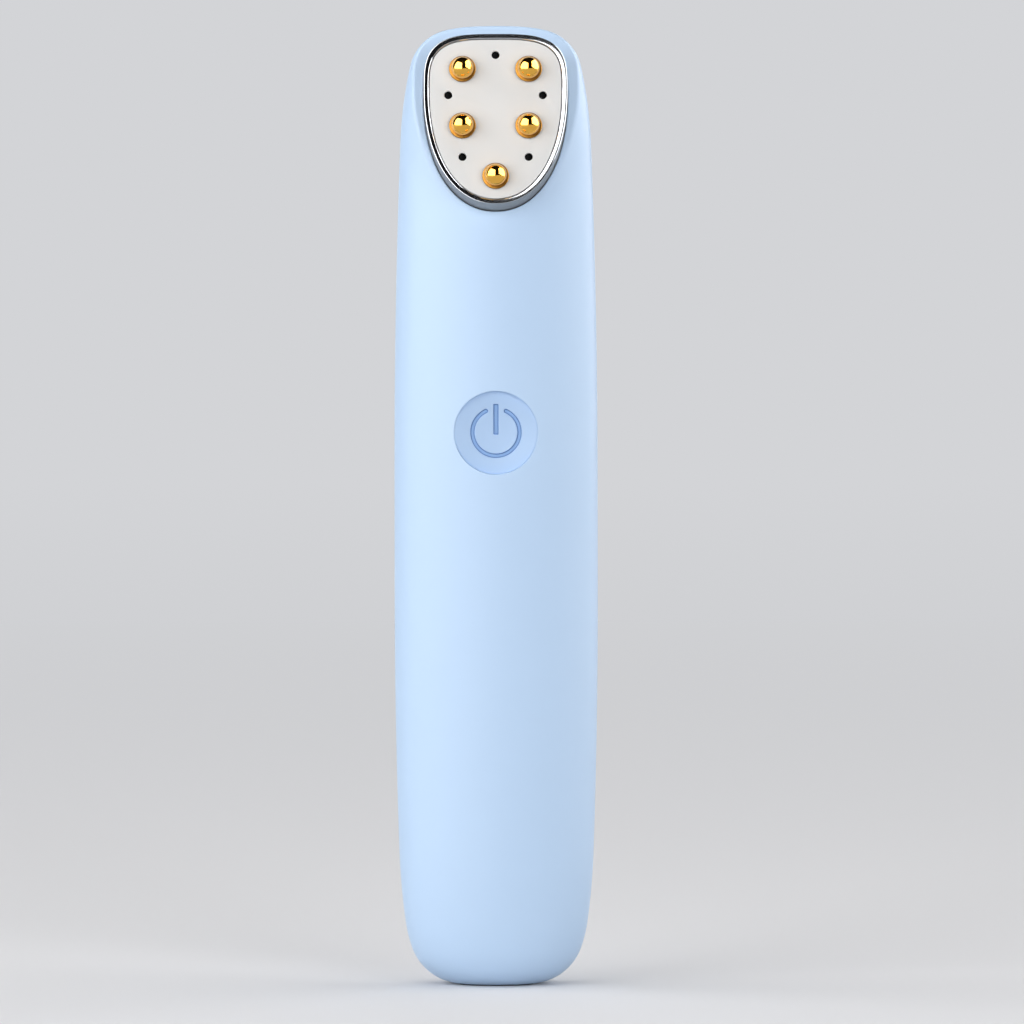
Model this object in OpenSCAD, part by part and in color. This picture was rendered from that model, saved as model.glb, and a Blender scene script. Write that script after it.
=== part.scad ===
// Handheld radio frequency facial massager pen, standing on its foot.
// Millimetres. The origin is the middle of the foot, +Z runs up the pen and the face looks towards -Y.

/* [Body] */
// Length from the foot to the crown
body_len = 165; // [155:1:185]
// Width at the widest
body_w = 34.9; // [33:0.1:38]
// Depth at the deepest, front to back, without the head
body_d = 22; // [21:0.1:25]
// Wall of the two shells
wall = 1.8; // [1.4:0.1:2.1]
// How far the parting plane lies behind the widest line
split_y = 1.5; // [0.5:0.1:2.5]
// Height of the lip that enters the other shell
lip_h = 1.2; // [0.8:0.1:2]
// Gap between pieces that slip together
fit = 0.1; // [0.05:0.01:0.15]

/* [Body outline] */
// Radius of the top corners
corner_r = 8.1; // [7:0.1:9]
// Radius where the crown runs into a corner
crown_edge_r = 24; // [18:1:28]
// Turn of that arc, degrees
crown_edge_turn = 9.8; // [8:0.1:12]
// Slope of the crown where that arc begins, degrees
crown_slope = 3; // [2:0.1:4]
// Radius just below a top corner
shoulder_r = 72; // [50:1:90]
// Turn of that arc, degrees
shoulder_turn = 10.6; // [8:0.1:12]
// Radius of the long upper side
upper_side_r = 1475; // [1200:25:1600]
// Turn of the long upper side, degrees
upper_side_turn = 2.2; // [1.5:0.1:2.5]
// Radius of the heel, where the foot turns up into the side
heel_r = 9.2; // [8:0.1:10]
// Radius of the edge round the flat of the foot
foot_edge_r = 0.45; // [0.3:0.05:0.6]
// Turn of that edge, degrees
foot_edge_turn = 7.4; // [6:0.1:9]
// Radius above the heel
ankle_r = 23; // [18:1:28]
// Turn of that arc, degrees
ankle_turn = 11.6; // [9:0.1:13]
// Radius above the ankle
calf_r = 114; // [90:1:130]
// Turn of that arc, degrees
calf_turn = 6.1; // [5:0.1:7]
// Radius of the long lower side
lower_side_r = 1240; // [1000:20:1400]
// Turn of the long lower side, degrees
lower_side_turn = 2; // [1.5:0.1:2.4]

/* [Head] */
// Distance from the crown down to where the slanted face begins
face_drop = 32.4; // [31:0.1:34]
// Lean of the slanted face from upright, degrees
face_tilt = 17.5; // [16:0.1:18.5]
// Thickness of the slanted wall that carries the head
face_wall = 2; // [1.5:0.1:2.4]
// Distance of the metal bezel from the body's sides
head_margin = 5.15; // [4.95:0.05:5.95]
// Distance up the slanted face from its lower edge to the bezel's widest line
head_mid = 21.5; // [21:0.1:21.8]
// Reach of the bezel above its widest line
head_up = 9.9; // [9:0.1:10]
// Reach of the bezel below its widest line
head_down = 19.9; // [18:0.1:20.1]
// Squareness of the bezel's upper corners
head_up_power = 3.4; // [2.8:0.1:3.6]
// Squareness of the bezel's lower end
head_down_power = 2.15; // [2:0.05:2.4]
// Height of the bezel above the slanted face
bezel_h = 4.8; // [4.2:0.1:6]
// Wall of the bezel
bezel_wall = 0.9; // [0.7:0.05:1.1]
// Reach of the bezel's flange behind the slanted wall
flange_reach = 0.6; // [0.4:0.05:0.65]
// Thickness of the bezel's flange and the carrier's flange
flange_t = 0.8; // [0.6:0.1:1]
// Thickness of the silicone gasket under the bezel's flange
gasket_t = 0.5; // [0.4:0.05:0.7]
// Thickness of the face plate
plate_t = 0.8; // [0.6:0.1:1]
// How far the face plate sits below the rim of the bezel
plate_drop = 0.1; // [0.05:0.05:0.2]
// Thickness of the carrier's top, under the face plate
carrier_top = 2.7; // [2.4:0.1:3.2]
// Wall of the carrier
carrier_wall = 1.2; // [0.9:0.1:1.4]
// Thickness of the head board
head_board_t = 1; // [0.8:0.1:1.2]

/* [Electrodes and lights] */
// Diameter of an electrode's ball
ball_d = 4; // [3.6:0.1:4.3]
// Height of the ball's centre above its flange
ball_lift = 0.9; // [0.6:0.1:1.3]
// Diameter of an electrode's flange
electrode_flange_d = 4.6; // [4.4:0.1:5.2]
// Thickness of an electrode's flange
electrode_flange_t = 0.3; // [0.2:0.05:0.4]
// Diameter of an electrode's threaded stud
stud_d = 1.6; // [1.4:0.1:1.8]
// Distance from the middle line to the four outer electrodes
electrode_x = 5.67; // [5.4:0.01:5.9]
// Distance up the slanted face to the upper pair
electrode_top_v = 25.15; // [24.8:0.05:25.4]
// Distance up the slanted face to the middle pair
electrode_mid_v = 15.15; // [14.8:0.05:15.6]
// Distance up the slanted face to the lowest electrode
electrode_low_v = 6.25; // [6:0.05:6.6]
// Diameter of the insulating bush in the plate
bush_d = 2.6; // [2.4:0.1:2.8]
// Diameter of the bush's flange
bush_flange_d = 3.6; // [3.2:0.1:4]
// Thickness of the bush's flange
bush_flange_t = 0.2; // [0.15:0.05:0.3]
// Across flats of an electrode's nut
nut_af = 3.2; // [3:0.1:3.4]
// Thickness of an electrode's nut
nut_t = 1.3; // [1:0.1:1.5]
// Diameter of the light holes in the plate
light_d = 1.4; // [1.2:0.05:1.6]
// Distance from the middle line to the two lights at the sides
light_side_x = 8.1; // [7.9:0.05:8.4]
// Distance up the slanted face to the top light
light_top_v = 27.7; // [27.4:0.05:28]
// Distance up the slanted face to the side lights
light_side_v = 20.6; // [20:0.05:21.2]
// Distance up the slanted face to the lower lights
light_low_v = 9.7; // [9.4:0.05:10.2]
// Depth of a light's lens below the plate's face
lens_drop = 0.25; // [0.1:0.05:0.4]

/* [Power button] */
// Height of the button's centre
button_z = 95.8; // [94:0.1:97.5]
// Diameter of the button
button_d = 14.3; // [13.5:0.1:15]
// Radius of the ball that the dish in the button is cut with
dish_r = 40; // [30:1:60]
// Width of the flat rim round the dish
button_rim = 0.25; // [0.2:0.05:0.5]
// Depth of that rim below the body, at the left and right of the button
button_sink = 0.1; // [0.05:0.05:0.3]
// Thickness of the button in the middle of its dish
button_t = 1.2; // [1:0.1:1.4]
// Outer diameter of the power symbol's ring
symbol_d = 8.8; // [8:0.1:9.6]
// Width of the symbol's groove
groove_w = 0.72; // [0.6:0.02:0.9]
// Depth of the symbol's groove
groove_depth = 0.3; // [0.2:0.05:0.4]
// Half of the gap in the symbol's ring, degrees
symbol_gap = 25; // [20:1:30]
// Length of the symbol's bar
bar_len = 5.25; // [4.6:0.05:5.6]
// Distance that the bar's lower end lies below the symbol's centre
bar_below = 0.4; // [0.2:0.05:0.8]
// Travel of the button
travel = 0.5; // [0.3:0.05:0.6]
// Thickness of the button's flange
button_flange_t = 0.8; // [0.6:0.1:1]
// Reach of the button's flange past its skirt
button_flange_reach = 0.9; // [0.6:0.1:1]
// Side of the square switch under the button
switch_w = 6; // [5:0.1:6.2]
// Height of the switch body
switch_h = 2; // [1.8:0.1:2.1]
// Diameter of the switch's plunger
plunger_d = 3.2; // [2.8:0.1:3.6]
// Height of the plunger above the switch body
plunger_h = 1; // [0.9:0.1:1.1]

/* [Chassis and boards] */
// Front face of the chassis web
web_front_y = -2.4; // [-2.8:0.1:-2]
// Thickness of the chassis web
web_t = 1.2; // [1:0.1:1.4]
// Width of the chassis web
web_w = 22.4; // [21.8:0.1:23]
// Height of the chassis's lower end
web_low_z = 7; // [6.5:0.1:8]
// How far the chassis web stands past the main board's upper end
web_past_board = 0.5; // [0.2:0.1:1]
// Width of the main board
board_w = 20.4; // [19.6:0.1:21]
// Thickness of the main board
board_t = 1; // [0.8:0.1:1.2]
// Height of the main board's lower end
board_low_z = 24; // [23:0.1:25]
// Distance from the start of the slanted face down to the main board's upper end
board_top_gap = 6.6; // [6.3:0.1:7.5]
// Distance of the chassis screws from the middle line
screw_x = 8.5; // [8.2:0.1:8.8]
// Height of the lower pair of chassis screws
screw_low_z = 28; // [27.5:0.1:28.5]
// Distance of the middle pair above the cell
screw_mid_gap = 7; // [6:0.1:8]
// Distance of the upper pair below the main board's upper end
screw_high_gap = 3; // [2.5:0.1:4]
// Thread diameter of the chassis screws and the base screw
screw_d = 2; // [1.6:0.1:2.2]
// Head diameter of those screws
screw_head_d = 3.6; // [3.2:0.1:3.8]
// Head height of those screws
screw_head_h = 1.2; // [1:0.1:1.4]
// Length of the chassis screws below the head
screw_len = 8; // [6:0.5:9]
// Outer diameter of the screw bosses
boss_d = 4.6; // [4.2:0.1:5]

/* [Battery] */
// Width of the cell
cell_w = 19.4; // [18:0.1:19.6]
// Thickness of the cell
cell_t = 7.1; // [6:0.1:7.2]
// Length of the cell
cell_len = 50; // [44:1:50]
// Height of the cell's lower end
cell_low_z = 34; // [33.8:0.1:34.6]
// Thickness of the adhesive tape under the cell
tape_t = 0.3; // [0.2:0.05:0.4]

/* [Vibration motor] */
// Diameter of the motor can
motor_d = 7; // [6:0.1:7.4]
// Length of the motor can
motor_len = 14; // [12:0.5:14]
// Height of the can's lower end
motor_low_z = 97; // [96.5:0.1:98]
// Distance of the motor's axis behind the widest line
motor_y = 3; // [2.8:0.1:3.4]
// Diameter of the motor shaft
shaft_d = 1; // [0.8:0.1:1.2]
// Radius of the eccentric weight
weight_r = 3; // [2.6:0.1:3.2]
// Length of the eccentric weight
weight_len = 5; // [4:0.1:5.5]

/* [Charging port] */
// Height of the port in the back
port_z = 17; // [16.6:0.1:17.6]
// Outer width of the port's metal shell
port_w = 8.94; // [8.8:0.02:9.1]
// Outer height of the port's metal shell
port_h = 3.16; // [3.1:0.02:3.3]
// Sheet thickness of the port's metal shell
port_sheet = 0.3; // [0.25:0.01:0.32]
// Depth of the port's mouth below the back of the body
port_drop = 0.45; // [0.3:0.05:0.7]
// Gap round the port in the rear shell
port_gap = 0.18; // [0.12:0.02:0.25]
// Front face of the port board
port_board_y = 1.6; // [1.4:0.1:1.8]
// Thickness of the port board
port_board_t = 0.8; // [0.6:0.1:1]

/* [Foot] */
// Height of the shells' foot above the surface that the pad stands on
pad_proud = 0.2; // [0.1:0.05:0.3]
// Thickness of the foot pad
pad_t = 0.8; // [0.6:0.05:1]
// Width of the foot pad
pad_w = 12.8; // [12:0.1:13]

/* [Hidden] */
$fn = 48;
BIG = 400;
// How far a cut runs past what it cuts, and how far two forms of one solid run into each other.
PAST = 1;
JOIN = 0.2;

SHELL_BLUE = [0.77, 0.86, 0.965];
STEEL = [0.78, 0.78, 0.8];
GOLD = [0.86, 0.62, 0.2];
BOARD_GREEN = [0.1, 0.36, 0.22];
WHITE_PLASTIC = [0.9, 0.9, 0.88];
DARK = [0.12, 0.12, 0.13];

head_w = body_w - 2 * head_margin;
face_z = body_len - face_drop;
board_high_z = face_z - board_top_gap;
web_high_z = board_high_z + web_past_board;
cell_high_z = cell_low_z + cell_len;
screw_mid_z = cell_high_z + screw_mid_gap;
screw_high_z = board_high_z - screw_high_gap;

// Outline of the body as tangent arcs, each a radius, a turn and a number of steps.
heel_turn = 90 - foot_edge_turn - ankle_turn - calf_turn - lower_side_turn;
corner_turn = 90 - crown_slope - crown_edge_turn - shoulder_turn - upper_side_turn;

function foot_arcs(inset) = concat(
  inset < foot_edge_r
    ? [[foot_edge_r - inset, foot_edge_turn, 1], [heel_r - inset, heel_turn, 9]]
    : [[heel_r - inset, heel_turn + foot_edge_turn, 9]],
  [[ankle_r - inset, ankle_turn, 3], [calf_r - inset, calf_turn, 2]],
  [[lower_side_r - inset, lower_side_turn, 3]]
);
function crown_arcs(inset) = [
  [upper_side_r - inset, upper_side_turn, 4],
  [shoulder_r - inset, shoulder_turn, 3],
  [corner_r - inset, corner_turn, 9],
  [crown_edge_r - inset, crown_edge_turn, 2]
];
function arc_points(p, h, r, turn, n) = [
  for (i = [1 : n]) let (a = h + turn * i / n) p + [r * (sin(a) - sin(h)), r * (cos(h) - cos(a))]
];
function chain(p, h, arcs, i = 0) = i == len(arcs) ? [] :
  let (q = arc_points(p, h, arcs[i][0], arcs[i][1], arcs[i][2]))
  concat(q, chain(q[len(q) - 1], h + arcs[i][1], arcs, i + 1));
function last(list) = list[len(list) - 1];
// Half outline of the body, drawn in by inset, from the middle of the foot to the top of the crown.
function outline(inset) =
  let (
    half = body_w / 2 - inset,
    foot_start = [half - last(chain([0, 0], 0, foot_arcs(inset)))[0], pad_proud + inset],
    foot = chain(foot_start, 0, foot_arcs(inset)),
    rise = last(chain([0, 0], 90, crown_arcs(inset))),
    crown_half = half + rise[0],
    crown_rise = crown_half * tan(crown_slope / 2),
    upper_start = [half, body_len - inset - crown_rise - rise[1]],
    upper = chain(upper_start, 90, crown_arcs(inset)),
    crown = arc_points(last(upper), 180 - crown_slope, crown_half / sin(crown_slope), crown_slope, 2)
  )
  concat([[0, foot_start[1]], foot_start], foot, [upper_start], upper, crown);
OUTER = outline(0);
function half_width(z) = lookup(z, [for (p = OUTER) [p[1], p[0]]]);
depth_ratio = body_d / body_w;
function half_depth(z) = half_width(z) * depth_ratio;
// Solid of the body drawn in by inset on every side.
module form(inset) {
  scale([1, (body_d - 2 * inset) / (body_w - 2 * inset), 1])
    rotate_extrude($fn = 180)
      polygon(outline(inset));
}
module behind(y) translate([-BIG / 2, y, -BIG / 2]) cube(BIG);
module before(y) translate([-BIG / 2, y - BIG, -BIG / 2]) cube(BIG);

// The head's own frame: x across, y up the slanted face from its lower edge, z outwards.
module on_face() {
  translate([0, -half_depth(face_z), face_z])
    rotate([90 - face_tilt, 0, 0])
      children();
}
module above_face(h) on_face() translate([-BIG / 2, -BIG / 2, h]) cube(BIG);
function signed_power(c, e) = sign(c) * pow(abs(c), e);
// Outline of the head, drawn in by inset.
function head_outline(inset) = [
  for (i = [0 : 95])
    let (
      a = 360 * i / 96,
      upper = sin(a) >= 0,
      e = 2 / (upper ? head_up_power : head_down_power),
      reach = (upper ? head_up : head_down) - inset
    )
    [(head_w / 2 - inset) * signed_power(cos(a), e), head_mid + reach * signed_power(sin(a), e)]
];
module head_slab(inset, low, high) {
  on_face()
    translate([0, 0, low])
      linear_extrude(high - low)
        polygon(head_outline(inset));
}
// A rod square to the slanted face, with its middle at p, also used to cut holes.
module face_rod(p, d, low, high) {
  on_face() translate([p[0], p[1], low]) cylinder(d = d, h = high - low);
}

// Levels of the head's stack above the slanted face.
plate_top = bezel_h - plate_drop;
plate_low = plate_top - plate_t;
carrier_low = plate_low - carrier_top;
head_board_low = carrier_low - head_board_t;
gasket_low = -face_wall - gasket_t;
bezel_low = gasket_low - flange_t;
carrier_flange_low = bezel_low - flange_t;
carrier_inset = bezel_wall + fit;
pocket_inset = carrier_inset + carrier_wall;
ELECTRODES = [
  [-electrode_x, electrode_top_v], [electrode_x, electrode_top_v],
  [-electrode_x, electrode_mid_v], [electrode_x, electrode_mid_v],
  [0, electrode_low_v]
];
LIGHTS = [
  [0, light_top_v],
  [-light_side_x, light_side_v], [light_side_x, light_side_v],
  [-electrode_x, light_low_v], [electrode_x, light_low_v]
];
bush_depth = 0.8;
stud_end = 0.4;
led_w = 1.6;
led_l = 0.8;
led_h = 0.6;
lens_collar_d = 2.2;
led_pocket_h = 1.6;

// Levels behind the button, as y values.
board_front_y = web_front_y - board_t;
web_back_y = web_front_y + web_t;
switch_front_y = board_front_y - switch_h;
plunger_front_y = switch_front_y - plunger_h;
inner_ratio = (body_d - 2 * wall) / (body_w - 2 * wall);
function inner_half_depth(x, z) =
  let (w = half_width(z) - wall) w * inner_ratio * sqrt(1 - pow(x / w, 2));
button_flange_r = button_d / 2 + button_flange_reach;
button_flange_y = -inner_half_depth(button_flange_r, button_z) + fit;
button_flange_back_y = button_flange_y + button_flange_t;
button_skirt = 1;
button_inner_d = button_d - 2 * button_skirt;
plunger_in = 0.5;
guide_wall = 1.5;
guide_front = 0.6;
guide_back = 0.7;
guide_lap = 0.5;
function surface_y(x, z) = -half_depth(z) * sqrt(1 - pow(x / half_width(z), 2));
button_rim_y = surface_y(button_d / 2, button_z) + button_sink;
dish_edge_r = button_d / 2 - button_rim;
dish_centre_y = button_rim_y - sqrt(dish_r * dish_r - dish_edge_r * dish_edge_r);
dish_floor_y = dish_centre_y + dish_r;
button_roof_y = dish_floor_y + button_t;
SCREWS = [for (z = [screw_low_z, screw_mid_z, screw_high_z], x = [-screw_x, screw_x]) [x, z]];

// A cylinder along +Y from y0 to y1 at x, z.
module rod_y(x, z, d, y0, y1) {
  translate([x, y0, z])
    rotate([-90, 0, 0])
      cylinder(d = d, h = y1 - y0);
}
module block(x0, x1, y0, y1, z0, z1) translate([x0, y0, z0]) cube([x1 - x0, y1 - y0, z1 - z0]);
module mirrored() {
  children();
  mirror([1, 0, 0]) children();
}

// Tube along smooth points, for the leads: eight sides, each ring square to the run.
lead_d = 1;
LEAD_SIDES = 8;
function curve_point(p, i, t) =
  let (
    n = len(p) - 1,
    a = p[max(i - 1, 0)], b = p[i], c = p[min(i + 1, n)], d = p[min(i + 2, n)]
  )
  0.5 * (2 * b + (c - a) * t + (2 * a - 5 * b + 4 * c - d) * t * t + (3 * b - a - 3 * c + d) * t * t * t);
function smooth(p, steps = 4) = concat(
  [for (i = [0 : len(p) - 2], k = [0 : steps - 1]) curve_point(p, i, k / steps)],
  [last(p)]
);
module tube(points, d) {
  n = len(points);
  function unit(v) = v / norm(v);
  rings = [
    for (i = [0 : n - 1])
      let (
        t = unit(points[min(i + 1, n - 1)] - points[max(i - 1, 0)]),
        u = unit(cross(t, [1, 0.01, 0])),
        w = cross(t, u)
      )
      for (k = [0 : LEAD_SIDES - 1])
        let (a = 360 * k / LEAD_SIDES) points[i] + d / 2 * (cos(a) * u + sin(a) * w)
  ];
  sides = [
    for (i = [0 : n - 2], k = [0 : LEAD_SIDES - 1])
      let (m = (k + 1) % LEAD_SIDES, a = i * LEAD_SIDES)
      each [[a + k, a + LEAD_SIDES + m, a + m], [a + k, a + LEAD_SIDES + k, a + LEAD_SIDES + m]]
  ];
  first_cap = [for (k = [1 : LEAD_SIDES - 2]) [0, k, k + 1]];
  end = (n - 1) * LEAD_SIDES;
  last_cap = [for (k = [1 : LEAD_SIDES - 2]) [end, end + k + 1, end + k]];
  polyhedron(rings, concat(sides, first_cap, last_cap));
}

// Body of the two shells before they are parted: one hollow form with its slanted face.
module whole_shell() {
  difference() {
    form(0);
    above_face(0);
    difference() {
      form(wall);
      above_face(-face_wall);
    }
    head_slab(-fit, -face_wall - PAST, PAST);
    foot_oval(pad_w + 2 * fit);
  }
}
// Oval of the foot pad with straight edges, so that its underside is a true plane.
module foot_oval(w) {
  linear_extrude(pad_t)
    polygon([for (i = [0 : 95]) w / 2 * [cos(360 * i / 96), depth_ratio * sin(360 * i / 96)]]);
}
// Foot boss that takes the base screw's head, which lies above the foot pad.
foot_boss_d = 6.4;
base_screw_drop = 1;
base_seat_t = 1.6;
base_seat_z = pad_t + base_screw_drop + screw_head_h;
foot_boss_top = base_seat_z + base_seat_t;

module front_shell() color(SHELL_BLUE) {
  difference() {
    union() {
      difference() {
        whole_shell();
        difference() {
          form(wall / 2);
          before(split_y - lip_h - fit);
        }
      }
      translate([0, 0, pad_t + fit])
        cylinder(d = foot_boss_d, h = foot_boss_top - pad_t - fit);
    }
    behind(split_y);
    rod_y(0, button_z, button_d + 2 * fit, -body_d, -body_d / 4);
    translate([0, 0, -PAST]) cylinder(d = screw_head_d + 2 * fit, h = base_seat_z + PAST);
    cylinder(d = screw_d + 2 * fit, h = foot_boss_top + PAST);
  }
}

module rear_shell() color(SHELL_BLUE) {
  difference() {
    union() {
      difference() {
        whole_shell();
        before(split_y);
      }
      difference() {
        form(wall / 2 + fit);
        form(wall);
        above_face(-face_wall - fit);
        before(split_y - lip_h);
        behind(split_y + wall);
        cylinder(d = pad_w, h = wall + pad_t);
      }
      intersection() {
        form(wall / 2);
        for (p = SCREWS)
          rod_y(p[0], p[1], boss_d, web_back_y, body_d / 2);
      }
    }
    for (p = SCREWS)
      rod_y(p[0], p[1], screw_d + fit / 2, web_back_y - PAST, web_back_y + screw_len);
    cylinder(d = screw_head_d + 2 * fit, h = foot_boss_top + PAST);
    port_slot(port_w + 2 * port_gap, port_h + 2 * port_gap, body_d / 5, body_d);
  }
}

// Rounded slot through y0 to y1 at the charging port.
module port_slot(w, h, y0, y1) {
  translate([0, y0, port_z])
    rotate([-90, 0, 0])
      linear_extrude(y1 - y0)
        union() {
          square([w - h, h], center = true);
          for (s = [-1, 1])
            translate([s * (w - h) / 2, 0]) circle(d = h);
        }
}

module foot_pad() color(DARK) foot_oval(pad_w);

// Pan head screw with a cross recess, head at the origin, shank towards +Z.
module pan_screw(d, head_d, head_h, length) {
  difference() {
    union() {
      translate([0, 0, -head_h]) cylinder(d = head_d, h = head_h);
      cylinder(d = d, h = length);
    }
    for (a = [0, 90])
      rotate([0, 0, a])
        translate([-head_d / 3, -head_d / 14, -head_h - PAST])
          cube([head_d / 1.5, head_d / 7, PAST + head_h / 2]);
  }
}
module base_screw() color(STEEL)
  translate([0, 0, base_seat_z])
    pan_screw(screw_d, screw_head_d, screw_head_h, web_low_z + chassis_base_t - base_seat_z);

// Power symbol: an open ring with round ends and a bar through its gap.
function clock(r, a) = r * [sin(a), cos(a)];
function round_end(r, a, from) = [
  for (b = [from + 20 : 20 : from + 160])
    clock(r, a) + groove_w / 2 * (cos(b) * clock(1, a) + sin(b) * clock(1, a + 90))
];
module power_symbol() {
  ring_r = symbol_d / 2 - groove_w / 2;
  sweep = [for (i = [0 : 48]) symbol_gap + (360 - 2 * symbol_gap) * i / 48];
  polygon(concat(
    [for (a = sweep) clock(ring_r + groove_w / 2, a)],
    round_end(ring_r, 360 - symbol_gap, 0),
    [for (a = sweep) clock(ring_r - groove_w / 2, -a)],
    round_end(ring_r, symbol_gap, 180)
  ));
  bar_w = groove_w * 1.2;
  translate([-bar_w / 2, -bar_below]) square([bar_w, bar_len]);
}
module power_button() color(SHELL_BLUE * 0.94) {
  difference() {
    union() {
      rod_y(0, button_z, button_d, button_rim_y, button_flange_back_y);
      rod_y(0, button_z, 2 * button_flange_r, button_flange_y, button_flange_back_y);
    }
    translate([0, dish_centre_y, button_z]) sphere(r = dish_r, $fn = 360);
    rod_y(0, button_z, button_inner_d, button_roof_y, 0);
    intersection() {
      translate([0, dish_centre_y, button_z]) sphere(r = dish_r + groove_depth, $fn = 360);
      translate([0, button_roof_y, button_z])
        rotate([90, 0, 0])
          linear_extrude(button_roof_y - button_rim_y + PAST)
            power_symbol();
    }
  }
  rod_y(0, button_z, plunger_d, button_roof_y - JOIN, plunger_front_y - fit / 2);
}
// Ring that traps the button's flange behind the front wall and guides it.
module button_guide() color(WHITE_PLASTIC) {
  guide_d = 2 * (button_flange_r + guide_wall);
  stop_y = button_flange_back_y + travel + fit;
  difference() {
    intersection() {
      rod_y(0, button_z, guide_d, button_flange_y - guide_front, stop_y + guide_back);
      form(wall + fit / 2);
    }
    rod_y(0, button_z, 2 * (button_flange_r + fit), -body_d, stop_y);
    rod_y(0, button_z, button_d - 2 * guide_lap, -body_d, 0);
  }
}
module tact_switch() color(DARK) {
  difference() {
    on_board(0, button_z, switch_w, switch_w, switch_h);
    rod_y(0, button_z, plunger_d + fit, switch_front_y - PAST, switch_front_y + plunger_in + travel + fit);
  }
}
module switch_plunger() color("black")
  rod_y(0, button_z, plunger_d, plunger_front_y, switch_front_y + plunger_in);

// A flange of the head, trimmed where it would meet the inside of the shells.
module head_flange(low, high) {
  intersection() {
    head_slab(-flange_reach, low, high);
    form(wall + fit);
  }
}
module head_bezel() color(STEEL) {
  difference() {
    union() {
      head_slab(0, bezel_low, bezel_h);
      head_flange(bezel_low, gasket_low);
    }
    head_slab(bezel_wall, bezel_low - PAST, bezel_h + PAST);
  }
}
module head_gasket() color(DARK) {
  difference() {
    head_flange(gasket_low, -face_wall);
    head_slab(-fit, gasket_low - PAST, 0);
  }
}
module face_plate() color([0.9, 0.9, 0.89]) {
  difference() {
    head_slab(bezel_wall + fit, plate_low, plate_top);
    for (p = ELECTRODES)
      face_rod(p, bush_d + fit, plate_low - PAST, plate_top + PAST);
    for (p = LIGHTS)
      face_rod(p, light_d, plate_low - PAST, plate_top + PAST);
  }
}
// Insulating cup that fills the bezel and carries the plate, the electrodes and the board. Its flange
// stops short of the crown, where the shell leaves no room for it.
carrier_flange_top_v = head_mid + 2;
module head_carrier() color(WHITE_PLASTIC) {
  difference() {
    union() {
      head_slab(carrier_inset, carrier_flange_low, plate_low);
      intersection() {
        head_flange(carrier_flange_low, bezel_low);
        on_face() translate([-BIG / 2, carrier_flange_top_v - BIG, -BIG / 2]) cube(BIG);
      }
    }
    head_slab(pocket_inset, carrier_flange_low - PAST, carrier_low);
    for (p = ELECTRODES) {
      face_rod(p, stud_d + 2 * fit, carrier_low - PAST, plate_low + PAST);
      face_rod(p, bush_d + fit, plate_low - bush_depth - fit, plate_low + PAST);
    }
    for (p = LIGHTS) {
      face_rod(p, light_d, carrier_low - PAST, plate_low + PAST);
      face_rod(p, lens_collar_d + fit, carrier_low - PAST, carrier_low + led_pocket_h);
    }
  }
}
module head_board() color(BOARD_GREEN) {
  difference() {
    head_slab(pocket_inset + fit, head_board_low, carrier_low);
    for (p = ELECTRODES)
      face_rod(p, stud_d + fit, head_board_low - PAST, carrier_low + PAST);
  }
}
module electrode(p) color(GOLD) {
  seat = plate_top + bush_flange_t;
  stud_low = head_board_low - nut_t - stud_end;
  on_face() translate([p[0], p[1], 0]) {
    translate([0, 0, seat]) cylinder(d = electrode_flange_d, h = electrode_flange_t);
    intersection() {
      translate([0, 0, seat + electrode_flange_t + ball_lift]) sphere(d = ball_d);
      translate([0, 0, seat]) cylinder(d = electrode_flange_d, h = ball_d + ball_lift);
    }
    translate([0, 0, stud_low]) cylinder(d = stud_d, h = seat + JOIN - stud_low);
  }
}
module electrode_bush(p) color(WHITE_PLASTIC) {
  bush_low = plate_low - bush_depth;
  bush_top = plate_top + bush_flange_t;
  difference() {
    union() {
      face_rod(p, bush_flange_d, plate_top, bush_top);
      face_rod(p, bush_d, bush_low, bush_top);
    }
    face_rod(p, stud_d + fit, bush_low - PAST, bush_top + PAST);
  }
}
module electrode_nuts() color("gold")
  for (p = ELECTRODES)
    on_face() translate([p[0], p[1], head_board_low - nut_t])
      difference() {
        cylinder(d = nut_af / cos(30), h = nut_t, $fn = 6);
        translate([0, 0, -PAST]) cylinder(d = stud_d + fit / 2, h = nut_t + 2 * PAST);
      }
module light_lens(p) color([0.1, 0.1, 0.12])
  on_face() translate([p[0], p[1], 0]) {
    lens_low = carrier_low + led_h + fit;
    translate([0, 0, lens_low])
      cylinder(d = light_d - fit, h = plate_top - lens_drop - lens_low);
    translate([0, 0, lens_low])
      cylinder(d = lens_collar_d, h = led_pocket_h - led_h - 2 * fit);
  }
module led(p) color([0.95, 0.93, 0.8])
  on_face() translate([p[0] - led_w / 2, p[1] - led_l / 2, carrier_low])
    cube([led_w, led_l, led_h]);

// Chassis: a web that the board and the cell share, with posts, rails, a motor clip and two arms.
rail_t = 1.2;
rail_y = 3.4;
stop_t = 1.5;
stop_x = 3.2;
stop_y = 1.6;
slot_w = 8.4;
slot_h = 4;
low_slot_gap = 3.6;
high_slot_gap = 2.2;
CHASSIS_SLOTS = [cell_low_z - stop_t - low_slot_gap, cell_high_z + stop_t + high_slot_gap];
port_post_x = 5.6;
port_post_z = 5.6;
port_post_d = 2.6;
port_screw_d = 1.2;
port_screw_len = 3;
PORT_POSTS = [for (x = [-port_post_x, port_post_x], z = [-port_post_z, port_post_z]) [x, port_z + z]];
arm_in = 6;
arm_out = 9;
arm_back_y = 0.6;
arm_low_z = screw_high_z + 3;
arm_high_z = face_z + 18;
saddle_w = 10;
saddle_len = 10;
saddle_grip = 1.4;
chassis_base_w = 16;
chassis_base_gap = 0.5;
chassis_base_d = 2 * (inner_half_depth(chassis_base_w / 2, web_low_z) - chassis_base_gap);
chassis_base_t = 2;
base_post_d = 5;
screw_relief = 0.4;
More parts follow.
